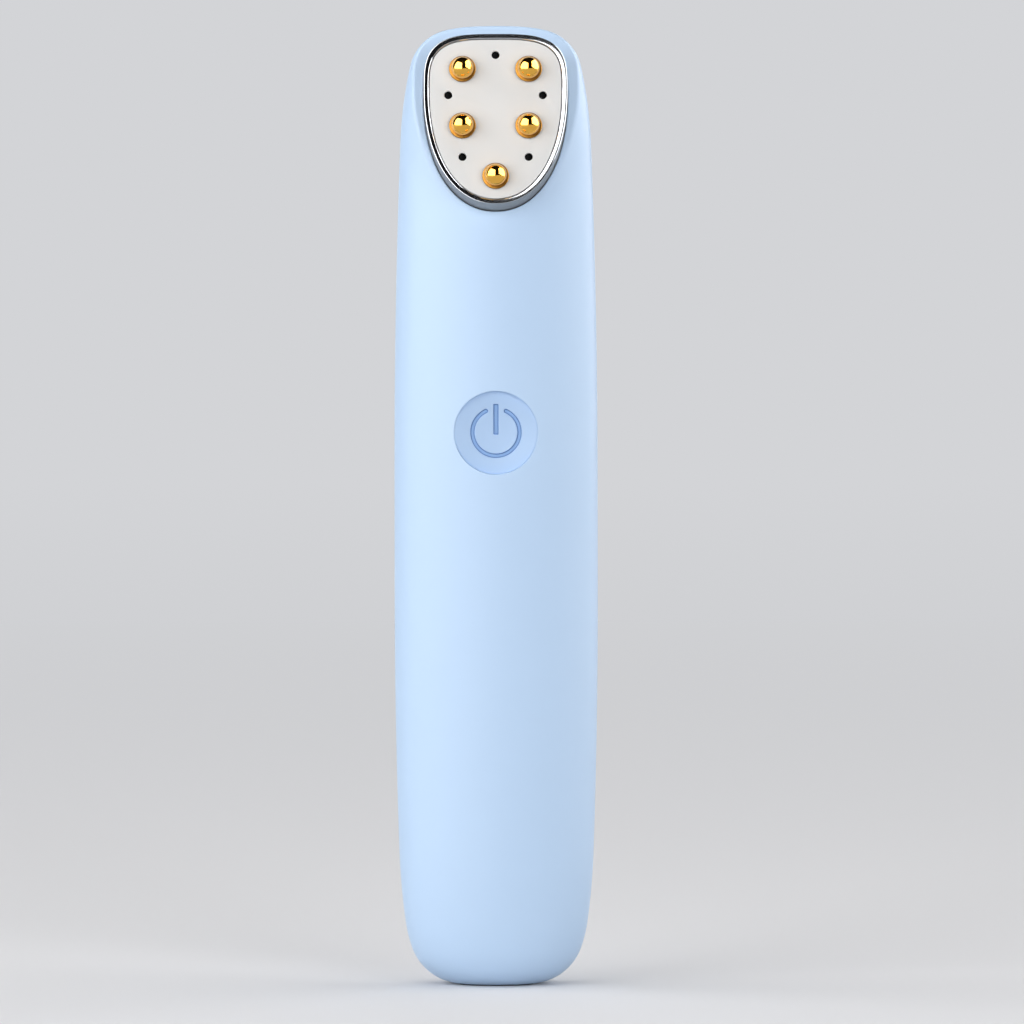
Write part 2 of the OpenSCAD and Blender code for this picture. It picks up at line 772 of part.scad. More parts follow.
module chassis() color([0.83, 0.83, 0.85]) {
  saddle_low = motor_low_z + (motor_len - saddle_len) / 2;
  rail_x = cell_w / 2 + fit;
  base_high_z = web_low_z + chassis_base_t;
  difference() {
    union() {
      block(-web_w / 2, web_w / 2, web_front_y, web_back_y, web_low_z, web_high_z);
      mirrored() {
        block(rail_x, rail_x + rail_t, web_front_y, rail_y, cell_low_z, cell_high_z);
        block(stop_x, rail_x + rail_t, web_front_y, stop_y, cell_low_z - stop_t, cell_low_z - fit);
        block(stop_x, rail_x + rail_t, web_front_y, stop_y, cell_high_z + fit, cell_high_z + stop_t);
        block(arm_in, arm_out, web_front_y, arm_back_y, arm_low_z, arm_high_z);
      }
      translate([-saddle_w / 2, web_front_y, saddle_low])
        cube([saddle_w, motor_y + saddle_grip - web_front_y, saddle_len]);
      for (p = PORT_POSTS)
        rod_y(p[0], p[1], port_post_d, web_back_y - JOIN, port_board_y);
      translate([-chassis_base_w / 2, -chassis_base_d / 2, web_low_z])
        cube([chassis_base_w, chassis_base_d, chassis_base_t]);
      translate([0, 0, foot_boss_top + fit])
        cylinder(d = base_post_d, h = base_high_z - foot_boss_top - fit);
    }
    translate([0, 0, foot_boss_top])
      cylinder(d = screw_d + fit / 2, h = base_high_z + screw_relief - foot_boss_top);
    translate([0, motor_y, saddle_low - PAST]) cylinder(d = motor_d + fit, h = saddle_len + 2 * PAST);
    for (p = SCREWS)
      rod_y(p[0], p[1], screw_d + 2 * fit, web_front_y - PAST, rail_y + PAST);
    for (p = PORT_POSTS)
      rod_y(p[0], p[1], port_screw_d + fit / 2, port_screw_end_y - fit, port_board_y + PAST);
    for (z = CHASSIS_SLOTS)
      board_slot(z, web_front_y - PAST, web_back_y + PAST);
    above_face(carrier_flange_low - fit);
  }
}
module board_slot(z, y0, y1) block(-slot_w / 2, slot_w / 2, y0, y1, z - slot_h / 2, z + slot_h / 2);
module chassis_screws() color(STEEL)
  for (p = SCREWS)
    translate([p[0], board_front_y, p[1]])
      rotate([-90, 0, 0])
        pan_screw(screw_d, screw_head_d, screw_head_h, screw_len);

module main_board() color(BOARD_GREEN) {
  difference() {
    block(-board_w / 2, board_w / 2, board_front_y, web_front_y, board_low_z, board_high_z);
    for (p = SCREWS)
      rod_y(p[0], p[1], screw_d + 2 * fit, board_front_y - PAST, web_front_y + PAST);
    for (z = CHASSIS_SLOTS)
      board_slot(z, board_front_y - PAST, web_front_y + PAST);
  }
}
// A component standing on the front of the main board, with its middle at x, z.
module on_board(x, z, w, h, t) {
  translate([x - w / 2, board_front_y - t, z - h / 2]) cube([w, t, h]);
}
// Room for a component between the board and the front wall, less a gap.
part_gap = 0.5;
function part_room(x, z) = inner_half_depth(x, z) + board_front_y - part_gap;
chip_z = board_high_z - 16;
chip_w = 7;
chip_t = 0.9;
module controller_chip() color(DARK)
  on_board(0, chip_z, chip_w, chip_w, chip_t);

// The transformer's core has two windows, and its winding goes round the middle leg through both.
transformer_z = 64;
core_w = 10;
core_l = 9;
core_t = part_room(core_w / 2, transformer_z);
core_leg_w = 2.8;
window_w = 2;
window_l = 6;
bobbin_t = core_t - 1;
module rf_transformer_core() color([0.2, 0.19, 0.2]) {
  difference() {
    on_board(0, transformer_z, core_w, core_l, core_t);
    for (s = [-1, 1])
      on_board(s * (core_leg_w + window_w) / 2, transformer_z, window_w, window_l, core_t + PAST);
  }
}
module rf_transformer_winding() color([0.75, 0.4, 0.15]) {
  difference() {
    on_board(0, transformer_z, core_leg_w + 2 * (window_w - fit), window_l - 2 * fit, bobbin_t);
    on_board(0, transformer_z, core_leg_w + 2 * fit, window_l, bobbin_t + PAST);
  }
}
inductor_x = -5;
inductor_z = 50;
inductor_w = 6;
inductor_t = 2.8;
module boost_inductor() color([0.25, 0.25, 0.26])
  on_board(inductor_x, inductor_z, inductor_w, inductor_w, inductor_t);

capacitor_x = 5;
capacitor_z = 44;
capacitor_d = part_room(capacitor_x + 1.5, capacitor_z);
capacitor_len = 9;
module filter_capacitor() color([0.15, 0.17, 0.3])
  translate([capacitor_x, board_front_y - capacitor_d / 2, capacitor_z])
    cylinder(d = capacitor_d, h = capacitor_len);

connector_z = cell_high_z - 3.4;
connector_w = 6;
connector_l = 5;
connector_t = 2.2;
connector_wall = 0.7;
connector_floor = 2;
connector_lid = 0.3;
module battery_connector() color([0.93, 0.92, 0.86]) {
  socket_w = connector_w - 2 * connector_wall;
  difference() {
    on_board(0, connector_z, connector_w, connector_l, connector_t);
    on_board(0, connector_z + connector_floor, socket_w, connector_l, connector_t - connector_lid);
  }
}

cell_front_y = web_back_y + tape_t;
tape_margin_x = 1.5;
tape_margin_z = 3;
module battery_cell() color([0.35, 0.5, 0.72])
  translate([-cell_w / 2, cell_front_y, cell_low_z])
    cube([cell_w, cell_t, cell_len]);
module battery_tape() color([0.9, 0.9, 0.9])
  translate([tape_margin_x - cell_w / 2, web_back_y, cell_low_z + tape_margin_z])
    cube([cell_w - 2 * tape_margin_x, tape_t, cell_len - 2 * tape_margin_z]);

// A battery lead leaves the cell's upper end, passes through the upper slot and ends in the connector.
battery_lead_x = 1.2;
module battery_lead(s) {
  x = s * battery_lead_x;
  y = cell_front_y + 3.6;
  socket_y = board_front_y - 1.3;
  tube(smooth([
    [x, y, cell_high_z + fit], [x, y, cell_high_z + 1], [x, y - 1.7, cell_high_z + 2.9],
    [x, y - 4.7, cell_high_z + 2.8], [x, socket_y + 0.3, cell_high_z + 2],
    [x, socket_y, cell_high_z], [x, socket_y, cell_high_z - 2]
  ]), lead_d);
}
module battery_lead_red() color("firebrick") battery_lead(-1);
module battery_lead_black() color(DARK) battery_lead(1);

// Ribbon of the given thickness along points in the YZ plane.
module ribbon(points, w, t) {
  n = len(points);
  function side(i) =
    let (d = points[min(i + 1, n - 1)] - points[max(i - 1, 0)]) t / 2 * [-d[1], d[0]] / norm(d);
  translate([-w / 2, 0, 0])
    rotate([90, 0, 90])
      linear_extrude(w)
        polygon(concat(
          [for (i = [0 : n - 1]) points[i] + side(i)],
          [for (i = [n - 1 : -1 : 0]) points[i] - side(i)]
        ));
}
flex_w = 7;
flex_t = 0.3;
function face_point(v, h) = [
  -half_depth(face_z) + v * sin(face_tilt) - h * cos(face_tilt),
  face_z + v * cos(face_tilt) + h * sin(face_tilt)
];
module head_flex() color([0.75, 0.5, 0.15]) {
  lie = head_board_low - flex_t / 2 - fit / 2;
  run_y = board_front_y - flex_t / 2 - fit / 2;
  ribbon(smooth([
    [run_y, board_high_z - 8], [run_y, board_high_z - 1], [run_y - 0.2, board_high_z + 5],
    face_point(8.5, -4.2), face_point(11.6, -1.7), face_point(13.2, lie - 0.3),
    face_point(15, lie), face_point(17, lie), face_point(18.5, lie)
  ]), flex_w, flex_t);
}

motor_top_z = motor_low_z + motor_len;
bearing_depth = 6;
shaft_in = 5.5;
shaft_end = 0.5;
weight_gap = 2;
module motor_can() color(STEEL) {
  difference() {
    translate([0, motor_y, motor_low_z]) cylinder(d = motor_d, h = motor_len);
    translate([0, motor_y, motor_top_z - bearing_depth])
      cylinder(d = shaft_d + fit, h = bearing_depth + PAST);
  }
}
weight_low_z = motor_top_z + weight_gap;
module motor_shaft() color(STEEL)
  translate([0, motor_y, motor_top_z - shaft_in])
    cylinder(d = shaft_d, h = shaft_in + weight_gap + weight_len + shaft_end);
module eccentric_weight() color([0.55, 0.53, 0.5]) {
  translate([0, motor_y, weight_low_z])
    difference() {
      intersection() {
        cylinder(r = weight_r, h = weight_len);
        translate([-BIG / 2, -shaft_d, -PAST]) cube(BIG);
      }
      translate([0, 0, -PAST]) cylinder(d = shaft_d, h = weight_len + 2 * PAST);
    }
}
module motor_leads() color([0.2, 0.3, 0.7])
  for (s = [-1, 1]) {
    slot_z = CHASSIS_SLOTS[1];
    tube(smooth([
      [s * 1.8, motor_y, motor_low_z - fit], [s * 1.8, motor_y, motor_low_z - 1.6],
      [s * 3, 1, slot_z + 1], [s * 3.2, -2, slot_z + 0.9], [s * 3.6, board_front_y - 0.9, slot_z],
      [s * 4.6, board_front_y - 0.7, slot_z - 2.6], [s * 5.2, board_front_y - lead_d / 2, slot_z - 4.6]
    ]), lead_d);
  }

port_board_h = 15;
port_board_w = 14.4;
port_board_back_y = port_board_y + port_board_t;
port_mouth_y = half_depth(port_z) - port_drop;
port_screw_end_y = port_board_back_y - port_screw_len;
port_screw_head_d = 2.2;
port_screw_head_h = 0.8;
tongue_w = 6.6;
tongue_t = 0.7;
tongue_drop = 0.8;
module port_board() color(BOARD_GREEN) {
  difference() {
    block(
      -port_board_w / 2, port_board_w / 2, port_board_y, port_board_back_y,
      port_z - port_board_h / 2, port_z + port_board_h / 2
    );
    for (p = PORT_POSTS)
      rod_y(p[0], p[1], port_screw_d + 2 * fit, port_board_y - PAST, port_board_back_y + PAST);
  }
}
module port_screws() color(STEEL)
  for (p = PORT_POSTS)
    translate([p[0], port_board_back_y, p[1]])
      rotate([90, 0, 0])
        pan_screw(port_screw_d, port_screw_head_d, port_screw_head_h, port_screw_len);
module port_shell() color(STEEL) {
  difference() {
    port_slot(port_w, port_h, port_board_back_y, port_mouth_y);
    port_slot(port_w - 2 * port_sheet, port_h - 2 * port_sheet, port_board_back_y + port_sheet, body_d);
  }
}
module port_tongue() color(DARK) {
  tongue_y = port_board_back_y + port_sheet;
  translate([-tongue_w / 2, tongue_y, port_z - tongue_t / 2])
    cube([tongue_w, port_mouth_y - tongue_drop - tongue_y, tongue_t]);
}
module port_leads() color([0.7, 0.15, 0.12])
  for (s = [-1, 1]) {
    slot_z = CHASSIS_SLOTS[0];
    start_z = port_z + port_board_h / 2;
    lead_y = port_board_y - lead_d / 2 - fit;
    tube(smooth([
      [s * 2, lead_y, start_z - 1.5], [s * 2, lead_y, start_z],
      [s * 2, 0, slot_z - 0.4], [s * 2, -2, slot_z], [s * 2, board_front_y - 0.8, slot_z + 0.3],
      [s * 2.4, board_front_y - 0.8, slot_z + 2.6], [s * 2.8, board_front_y - lead_d / 2, slot_z + 5]
    ]), lead_d);
  }

front_shell();
rear_shell();
foot_pad();
base_screw();
power_button();
button_guide();
tact_switch();
switch_plunger();
head_bezel();
head_gasket();
face_plate();
head_carrier();
head_board();
electrode_nuts();
for (i = [1 : 5]) {
  electrode(ELECTRODES[i - 1]);
  electrode_bush(ELECTRODES[i - 1]);
  light_lens(LIGHTS[i - 1]);
  led(LIGHTS[i - 1]);
}
chassis();
chassis_screws();
main_board();
controller_chip();
rf_transformer_core();
rf_transformer_winding();
boost_inductor();
filter_capacitor();
battery_connector();
battery_cell();
battery_tape();
battery_lead_red();
battery_lead_black();
head_flex();
motor_can();
motor_shaft();
eccentric_weight();
motor_leads();
port_board();
port_screws();
port_shell();
port_tongue();
port_leads();
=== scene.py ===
import math

import bmesh
import bpy
import numpy as np
from mathutils import Matrix, Vector


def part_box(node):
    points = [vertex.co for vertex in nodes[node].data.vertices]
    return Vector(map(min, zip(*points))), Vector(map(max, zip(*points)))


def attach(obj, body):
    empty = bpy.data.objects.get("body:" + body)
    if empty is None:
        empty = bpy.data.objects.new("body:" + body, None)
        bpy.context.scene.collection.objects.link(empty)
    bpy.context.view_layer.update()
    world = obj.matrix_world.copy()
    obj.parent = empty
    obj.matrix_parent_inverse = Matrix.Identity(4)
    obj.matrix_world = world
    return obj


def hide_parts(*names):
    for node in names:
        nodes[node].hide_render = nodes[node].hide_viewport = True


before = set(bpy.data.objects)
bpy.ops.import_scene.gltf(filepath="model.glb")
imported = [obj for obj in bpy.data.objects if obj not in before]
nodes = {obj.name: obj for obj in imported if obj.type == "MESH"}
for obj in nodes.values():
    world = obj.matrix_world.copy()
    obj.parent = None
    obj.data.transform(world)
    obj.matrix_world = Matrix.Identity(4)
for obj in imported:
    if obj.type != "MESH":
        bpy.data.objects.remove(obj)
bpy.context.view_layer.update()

# Camera. It stands far off and looks a little down on the front of the pen, so that the
# pen shows nearly without perspective. It aims a little to the right of the pen's axis.
SENSOR_WIDTH = 36.0
VIEW_REACH = 40.0
CAMERA_DISTANCE = 4.0
CAMERA_ABOVE = math.radians(4.2)
CAMERA_LEAN = math.radians(-0.07)
AIM = Vector((0.00273, 0.0, 0.08141))
FRAME_WIDTH = 0.176

lens_data = bpy.data.cameras.new("camera")
lens_data.sensor_width = SENSOR_WIDTH
lens_data.lens = SENSOR_WIDTH * CAMERA_DISTANCE / FRAME_WIDTH
lens_data.clip_end = VIEW_REACH
camera = bpy.data.objects.new("camera", lens_data)
bpy.context.scene.collection.objects.link(camera)
away = Vector((0.0, -math.cos(CAMERA_ABOVE), math.sin(CAMERA_ABOVE)))
camera.location = AIM + away * CAMERA_DISTANCE
aim_turn = away.to_track_quat("Z", "Y").to_matrix() @ Matrix.Rotation(CAMERA_LEAN, 3, "Z")
camera.rotation_euler = aim_turn.to_euler()
bpy.context.scene.camera = camera

# Body. Two moulded half shells of pale blue plastic, made as one hollow form here and parted
# further on. Their slanted face has a softly rounded edge and lies a little lower inside it.
# Sizes from here on are in millimetres, and an arc is a radius and a turn in degrees.
MM = 0.001
TINY = 1e-6
MERGE = 3e-7
BODY_LEN = 165.0
BODY_HALF_W = 17.45
BODY_DEPTH = 22.0
DEPTH_RATIO = BODY_DEPTH / (2 * BODY_HALF_W)
WALL = 1.8
FOOT_LIFT = 0.2
FOOT_ARCS = [(0.45, 7.4), (9.2, 62.9), (23.0, 11.6), (114.0, 6.1), (1240.0, 2.0)]
CROWN_ARCS = [(1475.0, 2.2), (72.0, 10.6), (8.1, 64.4), (24.0, 9.8)]
CROWN_SLOPE = 3.0
FACE_Z = 132.6
FACE_TILT = math.radians(17.5)
FACE_WALL = 2.0
FACE_EDGE = 0.4
COVE = 0.12
COVE_REACH = 1.2
OUTLINE_STEP = 0.05
FLAT_STEPS = 8


def run_arcs(start, heading, arcs, inset):
    """Points with headings along tangent arcs, each a radius and a turn, drawn in by inset."""
    x, z = start
    found = []
    for radius, turn in arcs:
        r = max(radius - inset, 0.0)
        count = max(2, math.ceil(r * math.radians(turn) / OUTLINE_STEP))
        for i in range(1, count + 1):
            a, h = math.radians(heading + turn * i / count), math.radians(heading)
            found.append((x + r * (math.sin(a) - math.sin(h)), z + r * (math.cos(h) - math.cos(a)), a))
        x, z = found[-1][:2]
        heading += turn
    return found


def body_outline(inset):
    """Half outline of the body from the middle of the foot to the crown: radius, height, heading."""
    half = BODY_HALF_W - inset
    foot_reach = run_arcs((0.0, 0.0), 0.0, FOOT_ARCS, inset)[-1][0]
    crown_end = run_arcs((0.0, 0.0), 90.0, CROWN_ARCS, inset)[-1]
    foot_start = half - foot_reach
    crown_half = half + crown_end[0]
    crown_rise = crown_half * math.tan(math.radians(CROWN_SLOPE / 2))
    upper_start = (half, BODY_LEN - inset - crown_rise - crown_end[1])
    foot_z = FOOT_LIFT + inset
    flat = [(foot_start * i / FLAT_STEPS, foot_z, 0.0) for i in range(FLAT_STEPS + 1)]
    foot = run_arcs((foot_start, foot_z), 0.0, FOOT_ARCS, inset)
    side_gap = upper_start[1] - foot[-1][1]
    steps = math.ceil(side_gap / OUTLINE_STEP)
    side = [(half, foot[-1][1] + side_gap * i / steps, math.pi / 2) for i in range(1, steps + 1)]
    upper = run_arcs(upper_start, 90.0, CROWN_ARCS, inset)
    crown_r = crown_half / math.sin(math.radians(CROWN_SLOPE))
    crown = run_arcs(upper[-1][:2], 180.0 - CROWN_SLOPE, [(crown_r + inset, CROWN_SLOPE)], inset)
    points = np.array(flat + foot + side + upper + crown)
    points[-1, 0] = 0.0
    return points


def half_width(z):
    """Half the body's width at a height."""
    return np.interp(z, OUTLINE[:, 1], OUTLINE[:, 0])


OUTLINE = body_outline(0.0)
FACE_Y = -float(half_width(FACE_Z) * DEPTH_RATIO)
FACE_START = np.array((0.0, FACE_Y, FACE_Z))
FACE_ACROSS = np.array((1.0, 0.0, 0.0))
FACE_UP = np.array((0.0, math.sin(FACE_TILT), math.cos(FACE_TILT)))
FACE_OUT = np.array((0.0, -math.cos(FACE_TILT), math.sin(FACE_TILT)))


def on_face(x, v, h):
    """A place on the slanted face: x across, v up it from its lower edge, h out of it."""
    across, up, out = (part[..., None] for part in np.broadcast_arrays(x, v, h))
    return FACE_START + across * FACE_ACROSS + up * FACE_UP + out * FACE_OUT


def out_of_face(place):
    """How far a place, in millimetres, lies in front of the slanted face."""
    return (place - FACE_START) @ FACE_OUT


def skin(name, rings, loop=False):
    """A closed mesh piece through rings of points in millimetres, capped unless it is a loop."""
    rings = np.asarray(rings, float)
    rows, columns = rings.shape[:2]
    faces = []
    for r in range(rows if loop else rows - 1):
        a, b = r * columns, (r + 1) % rows * columns
        for c in range(columns):
            d = (c + 1) % columns
            faces.append((a + c, a + d, b + d, b + c))
    if not loop:
        faces.append(tuple(range(columns))[::-1])
        faces.append(tuple(range((rows - 1) * columns, rows * columns)))
    mesh = bpy.data.meshes.new(name)
    mesh.from_pydata((rings.reshape(-1, 3) * MM).tolist(), [], faces)
    work = bmesh.new()
    work.from_mesh(mesh)
    bmesh.ops.remove_doubles(work, verts=work.verts, dist=MERGE)
    bmesh.ops.recalc_face_normals(work, faces=work.faces)
    work.to_mesh(mesh)
    work.free()
    piece = bpy.data.objects.new(name, mesh)
    bpy.context.scene.collection.objects.link(piece)
    return piece


def cut_out(piece, tool):
    """Cuts a tool's solid out of a piece, and removes the tool."""
    step = piece.modifiers.new("cut_out", "BOOLEAN")
    step.operation = "DIFFERENCE"
    step.object = tool
    step.solver = "MANIFOLD"
    scene_state = bpy.context.evaluated_depsgraph_get()
    result = bpy.data.meshes.new_from_object(piece.evaluated_get(scene_state))
    piece.modifiers.clear()
    old, piece.data = piece.data, result
    bpy.data.meshes.remove(old)
    bpy.data.objects.remove(tool)


def picked_rows(points, spacing):
    """Every row of the outline that lies far enough from the last one kept."""
    kept, last = [0], points[0]
    for i, p in enumerate(points[1:-1], 1):
        if math.hypot(p[0] - last[0], p[1] - last[1]) >= spacing(p[1]):
            kept.append(i)
            last = p
    return points[kept + [len(points) - 1]]


TOP_ROW_DROP = 0.8
POLE_SHARE = 0.45


def body_form(name, inset, plane_drop, angles, spacing):
    """The whole body drawn in by inset, with its slanted face plane_drop behind the outer one."""
    points = picked_rows(body_outline(inset), spacing)
    ratio = (BODY_HALF_W * DEPTH_RATIO - inset) / (BODY_HALF_W - inset)
    top_row = int(np.argmax(points[:, 1] > BODY_LEN - inset - TOP_ROW_DROP))
    plane_y = FACE_Y + plane_drop / math.cos(FACE_TILT)
    lean = math.tan(FACE_TILT)
    rings = []
    for w, z, _ in points[: top_row + 1]:
        plane = plane_y + (z - FACE_Z) * lean
        x, y = w * np.sin(angles), np.clip(-w * ratio * np.cos(angles), plane, w * ratio)
        if plane > 0:
            # Here the flat's ends lie behind the widest line, so its points are spread evenly.
            end = math.acos(-plane / (w * ratio))
            turn = (angles + math.pi) % (2 * math.pi) - math.pi
            x = np.where(np.abs(turn) < end, w * math.sin(end) * turn / end, x)
        rings.append(np.stack((x, y, np.full_like(y, z)), axis=1))
    # The crown is closed by rows that shrink towards a point behind the slanted face.
    edge = rings[-1]
    pole_y = POLE_SHARE * points[top_row, 0] * ratio
    top = points[top_row:][::-1]
    count = math.ceil(points[top_row, 0] / spacing(BODY_LEN))
    for i in range(1, count + 1):
        share = 1.0 - i / count
        x, y = edge[:, 0] * share, pole_y + (edge[:, 1] - pole_y) * share
        reach = np.hypot(x, y / ratio)
        z = np.minimum(np.interp(reach, top[:, 0], top[:, 1]), FACE_Z + (y - plane_y) / lean)
        rings.append(np.stack((x, y, z), axis=1))
    return skin(name, rings)


NEAR_BELOW = 6.0
NEAR_BEHIND = 1.6
PASSES = 5
BATCH = 4000


def round_face_edge(piece):
    """Rounds the edge between the slanted face and the barrel by moving points onto the rounding."""
    count = len(piece.data.vertices)
    co = np.empty(count * 3)
    piece.data.vertices.foreach_get("co", co)
    p = co.reshape(-1, 3) / MM
    dense = OUTLINE[OUTLINE[:, 1] > FACE_Z - 2 * NEAR_BELOW]
    near = np.flatnonzero((p[:, 2] > FACE_Z - NEAR_BELOW) & (out_of_face(p) > -NEAR_BEHIND))
    for _ in range(PASSES):
        q = p[near]
        reach = np.maximum(np.hypot(q[:, 0], q[:, 1] / DEPTH_RATIO), TINY)
        body, slope = np.empty(len(q)), np.empty_like(q)
        for low in range(0, len(q), BATCH):
            part = slice(low, low + BATCH)
            gap = (reach[part, None] - dense[:, 0]) ** 2 + (q[part, 2][:, None] - dense[:, 1]) ** 2
            best = dense[np.argmin(gap, axis=1)]
            out_r, out_z = np.sin(best[:, 2]), -np.cos(best[:, 2])
            away_by = (reach[part] - best[:, 0]) * out_r + (q[part, 2] - best[:, 1]) * out_z
            grow = np.stack((
                out_r * q[part, 0] / reach[part],
                out_r * q[part, 1] / (DEPTH_RATIO**2 * reach[part]),
                out_z,
            ), axis=1)
            size = np.linalg.norm(grow, axis=1)
            body[part], slope[part] = away_by / size, grow / size[:, None]
        plane = out_of_face(q)
        plane = plane + COVE * (1 - np.exp(np.minimum(body, 0.0) / COVE_REACH))
        blend = np.maximum(FACE_EDGE - np.abs(body - plane), 0.0) / FACE_EDGE
        field = np.maximum(body, plane) + blend**2 * FACE_EDGE / 4
        body_share = np.where(body > plane, 1 - blend / 2, blend / 2)[:, None]
        way = body_share * slope + (1 - body_share) * FACE_OUT
        p[near] = q - field[:, None] * way / np.sum(way**2, axis=1)[:, None]
    piece.data.vertices.foreach_set("co", (p * MM).ravel())
    piece.data.update()


FRONT_TURN = 1.75
FRONT_COUNT, BACK_COUNT, HOLLOW_COUNT = 241, 61, 73
HEAD_ROWS_BELOW = 4.0
FOOT_ROWS_TO = 14.0
HEAD_ROW, FOOT_ROW, BARREL_ROW, HOLLOW_ROW = 0.25, 0.35, 1.2, 1.5


def body_angles():
    """Angles round the body: close together over the front, wider apart over the back."""
    front = np.linspace(-FRONT_TURN, FRONT_TURN, FRONT_COUNT)
    back = np.linspace(FRONT_TURN, 2 * math.pi - FRONT_TURN, BACK_COUNT)[1:-1]
    return np.concatenate((front, back))


def body_spacing(z):
    """How far apart the rows of points lie at a height."""
    if z > FACE_Z - HEAD_ROWS_BELOW:
        return HEAD_ROW
    return FOOT_ROW if z < FOOT_ROWS_TO else BARREL_ROW


body = body_form("body", 0.0, 0.0, body_angles(), body_spacing)
round_face_edge(body)
hollow_angles = np.linspace(0, 2 * math.pi, HOLLOW_COUNT)[:-1]
hollow = body_form("hollow", WALL, FACE_WALL, hollow_angles, lambda z: HOLLOW_ROW)
cut_out(body, hollow)

# Openings in the shells: the head's opening in the slanted face, the button's round hole, the
# recess for the foot pad and the slot for the charging port. Their edges are slightly rounded.
HEAD_HALF_W = 12.3
HEAD_MID = 21.5
HEAD_UP, HEAD_DOWN = 9.9, 20.1
HEAD_UP_POWER, HEAD_DOWN_POWER = 3.4, 2.15
HEAD_EDGE = 0.22
BUTTON_Z = 95.8
BUTTON_R = 7.15
SLIP = 0.1
TOOL_PAST = 1.0
HEAD_TOOL_OUT = 1.5
PAD_HALF_W = 6.4
PAD_T = 0.8
PORT_Z = 17.0
PORT_W, PORT_H = 8.94, 3.16
PORT_GAP = 0.18


def evenly(points, count):
    """The closed line through the points, divided into a count of equal steps."""
    ring = np.vstack((points, points[:1]))
    length = np.concatenate(([0.0], np.cumsum(np.linalg.norm(np.diff(ring, axis=0), axis=1))))
    at = np.linspace(0.0, length[-1], count + 1)[:-1]
    return np.stack([np.interp(at, length, ring[:, i]) for i in range(ring.shape[1])], axis=1)


def head_outline(inset, count, fine=4001):
    """Outline of the head, drawn in by inset, in the slanted face's x and v."""
    a = np.linspace(0, 2 * math.pi, fine)[:-1]
    c, s = np.cos(a), np.sin(a)
    power = np.where(s >= 0, HEAD_UP_POWER, HEAD_DOWN_POWER)
    reach = np.where(s >= 0, HEAD_UP, HEAD_DOWN) - inset
    x = (HEAD_HALF_W - inset) * np.sign(c) * np.abs(c) ** (2 / power)
    v = HEAD_MID + reach * np.sign(s) * np.abs(s) ** (2 / power)
    return evenly(np.stack((x, v), axis=1), count)


def edge_profile(radius, count=6):
    """Growth and depth of an opening along its rounded edge, from inside to the surface."""
    turns = np.linspace(0, math.pi / 2, count)
    return [(radius * (1 - math.cos(a)), radius * (1 - math.sin(a))) for a in turns]


def head_ring(inset, h, count=240):
    """The head's outline, drawn in by inset, at a distance h out of the slanted face."""
    x, v = head_outline(inset, count).T
    return on_face(x, v, h)


head_tool = [head_ring(-SLIP, -FACE_WALL - TOOL_PAST)]
head_tool += [head_ring(-SLIP - grow, -COVE - depth) for grow, depth in edge_profile(HEAD_EDGE)]
head_tool.append(head_ring(-SLIP - HEAD_EDGE, HEAD_TOOL_OUT))
cut_out(body, skin("head_tool", head_tool))


def front_y(x, z):
    """The front of the barrel below the slanted face."""
    w = half_width(z)
    return -w * DEPTH_RATIO * np.sqrt(1 - (x / w) ** 2)


def back_y(x, z):
    """The back of the barrel."""
    return -front_y(x, z)


def circle(radius, count=192):
    """Points of a circle in two directions."""
    a = np.linspace(0, 2 * math.pi, count + 1)[:-1]
    return radius * np.cos(a), radius * np.sin(a)


def button_ring(radius, depth):
    """A circle round the button that follows the barrel at a depth below its surface."""
    x, z = circle(radius)
    z = z + BUTTON_Z
    return np.stack((x, front_y(x, z) + depth, z), axis=1)


HOLE_SLIP = 0.03
HOLE_R = BUTTON_R + HOLE_SLIP
HOLE_EDGE = 0.1
HOLE_TOOL_IN, HOLE_TOOL_OUT = 4.0, 3.0

hole_tool = [button_ring(HOLE_R, HOLE_TOOL_IN)]
hole_tool += [button_ring(HOLE_R + grow, depth) for grow, depth in edge_profile(HOLE_EDGE)]
hole_tool.append(button_ring(HOLE_R + HOLE_EDGE, -HOLE_TOOL_OUT))
cut_out(body, skin("hole_tool", hole_tool))


def slot_outline(width, height, count=24):
    """A slot with round ends, as x and z about its middle."""
    reach, r = (width - height) / 2, height / 2
    a = np.linspace(-math.pi / 2, math.pi / 2, count)
    right = np.stack((reach + r * np.cos(a), r * np.sin(a)), axis=1)
    return np.vstack((right, -right))


def port_ring(width, height, depth):
    """A slot at the port that follows the back of the barrel at a depth below its surface."""
    x, z = slot_outline(width, height).T
    z = z + PORT_Z
    return np.stack((x, back_y(x, z) - depth, z), axis=1)


SLOT_W, SLOT_H = PORT_W + 2 * PORT_GAP, PORT_H + 2 * PORT_GAP
SLOT_EDGE = 0.25
PORT_TOOL_IN = 3.0

port_tool = [port_ring(SLOT_W, SLOT_H, PORT_TOOL_IN)]
port_tool += [port_ring(SLOT_W + 2 * g, SLOT_H + 2 * g, depth) for g, depth in edge_profile(SLOT_EDGE)]
port_tool.append(port_ring(SLOT_W + 2 * SLOT_EDGE, SLOT_H + 2 * SLOT_EDGE, -TOOL_PAST))
cut_out(body, skin("port_tool", port_tool))


def foot_ring(half_w, z, count=96):
    """An oval in the foot at a height."""
    x, y = circle(1.0, count)
    return np.stack((half_w * x, half_w * DEPTH_RATIO * y, np.full_like(x, z)), axis=1)


cut_out(body, skin("foot_tool", [foot_ring(PAD_HALF_W + SLIP, z) for z in (-TOOL_PAST, PAD_T)]))

# Parting line. The shells meet just behind the widest line, in a fine groove that runs round the
# sides, the foot and the crown. The body is parted there into the front and the rear shell, and
# both get the soft-touch lacquer.
PARTING_Y = 1.5
PARTING_POINTS = 700
GROOVE_DEPTH = 0.14
GROOVE_HALF_W = 0.1
GROOVE_PAST = 0.2


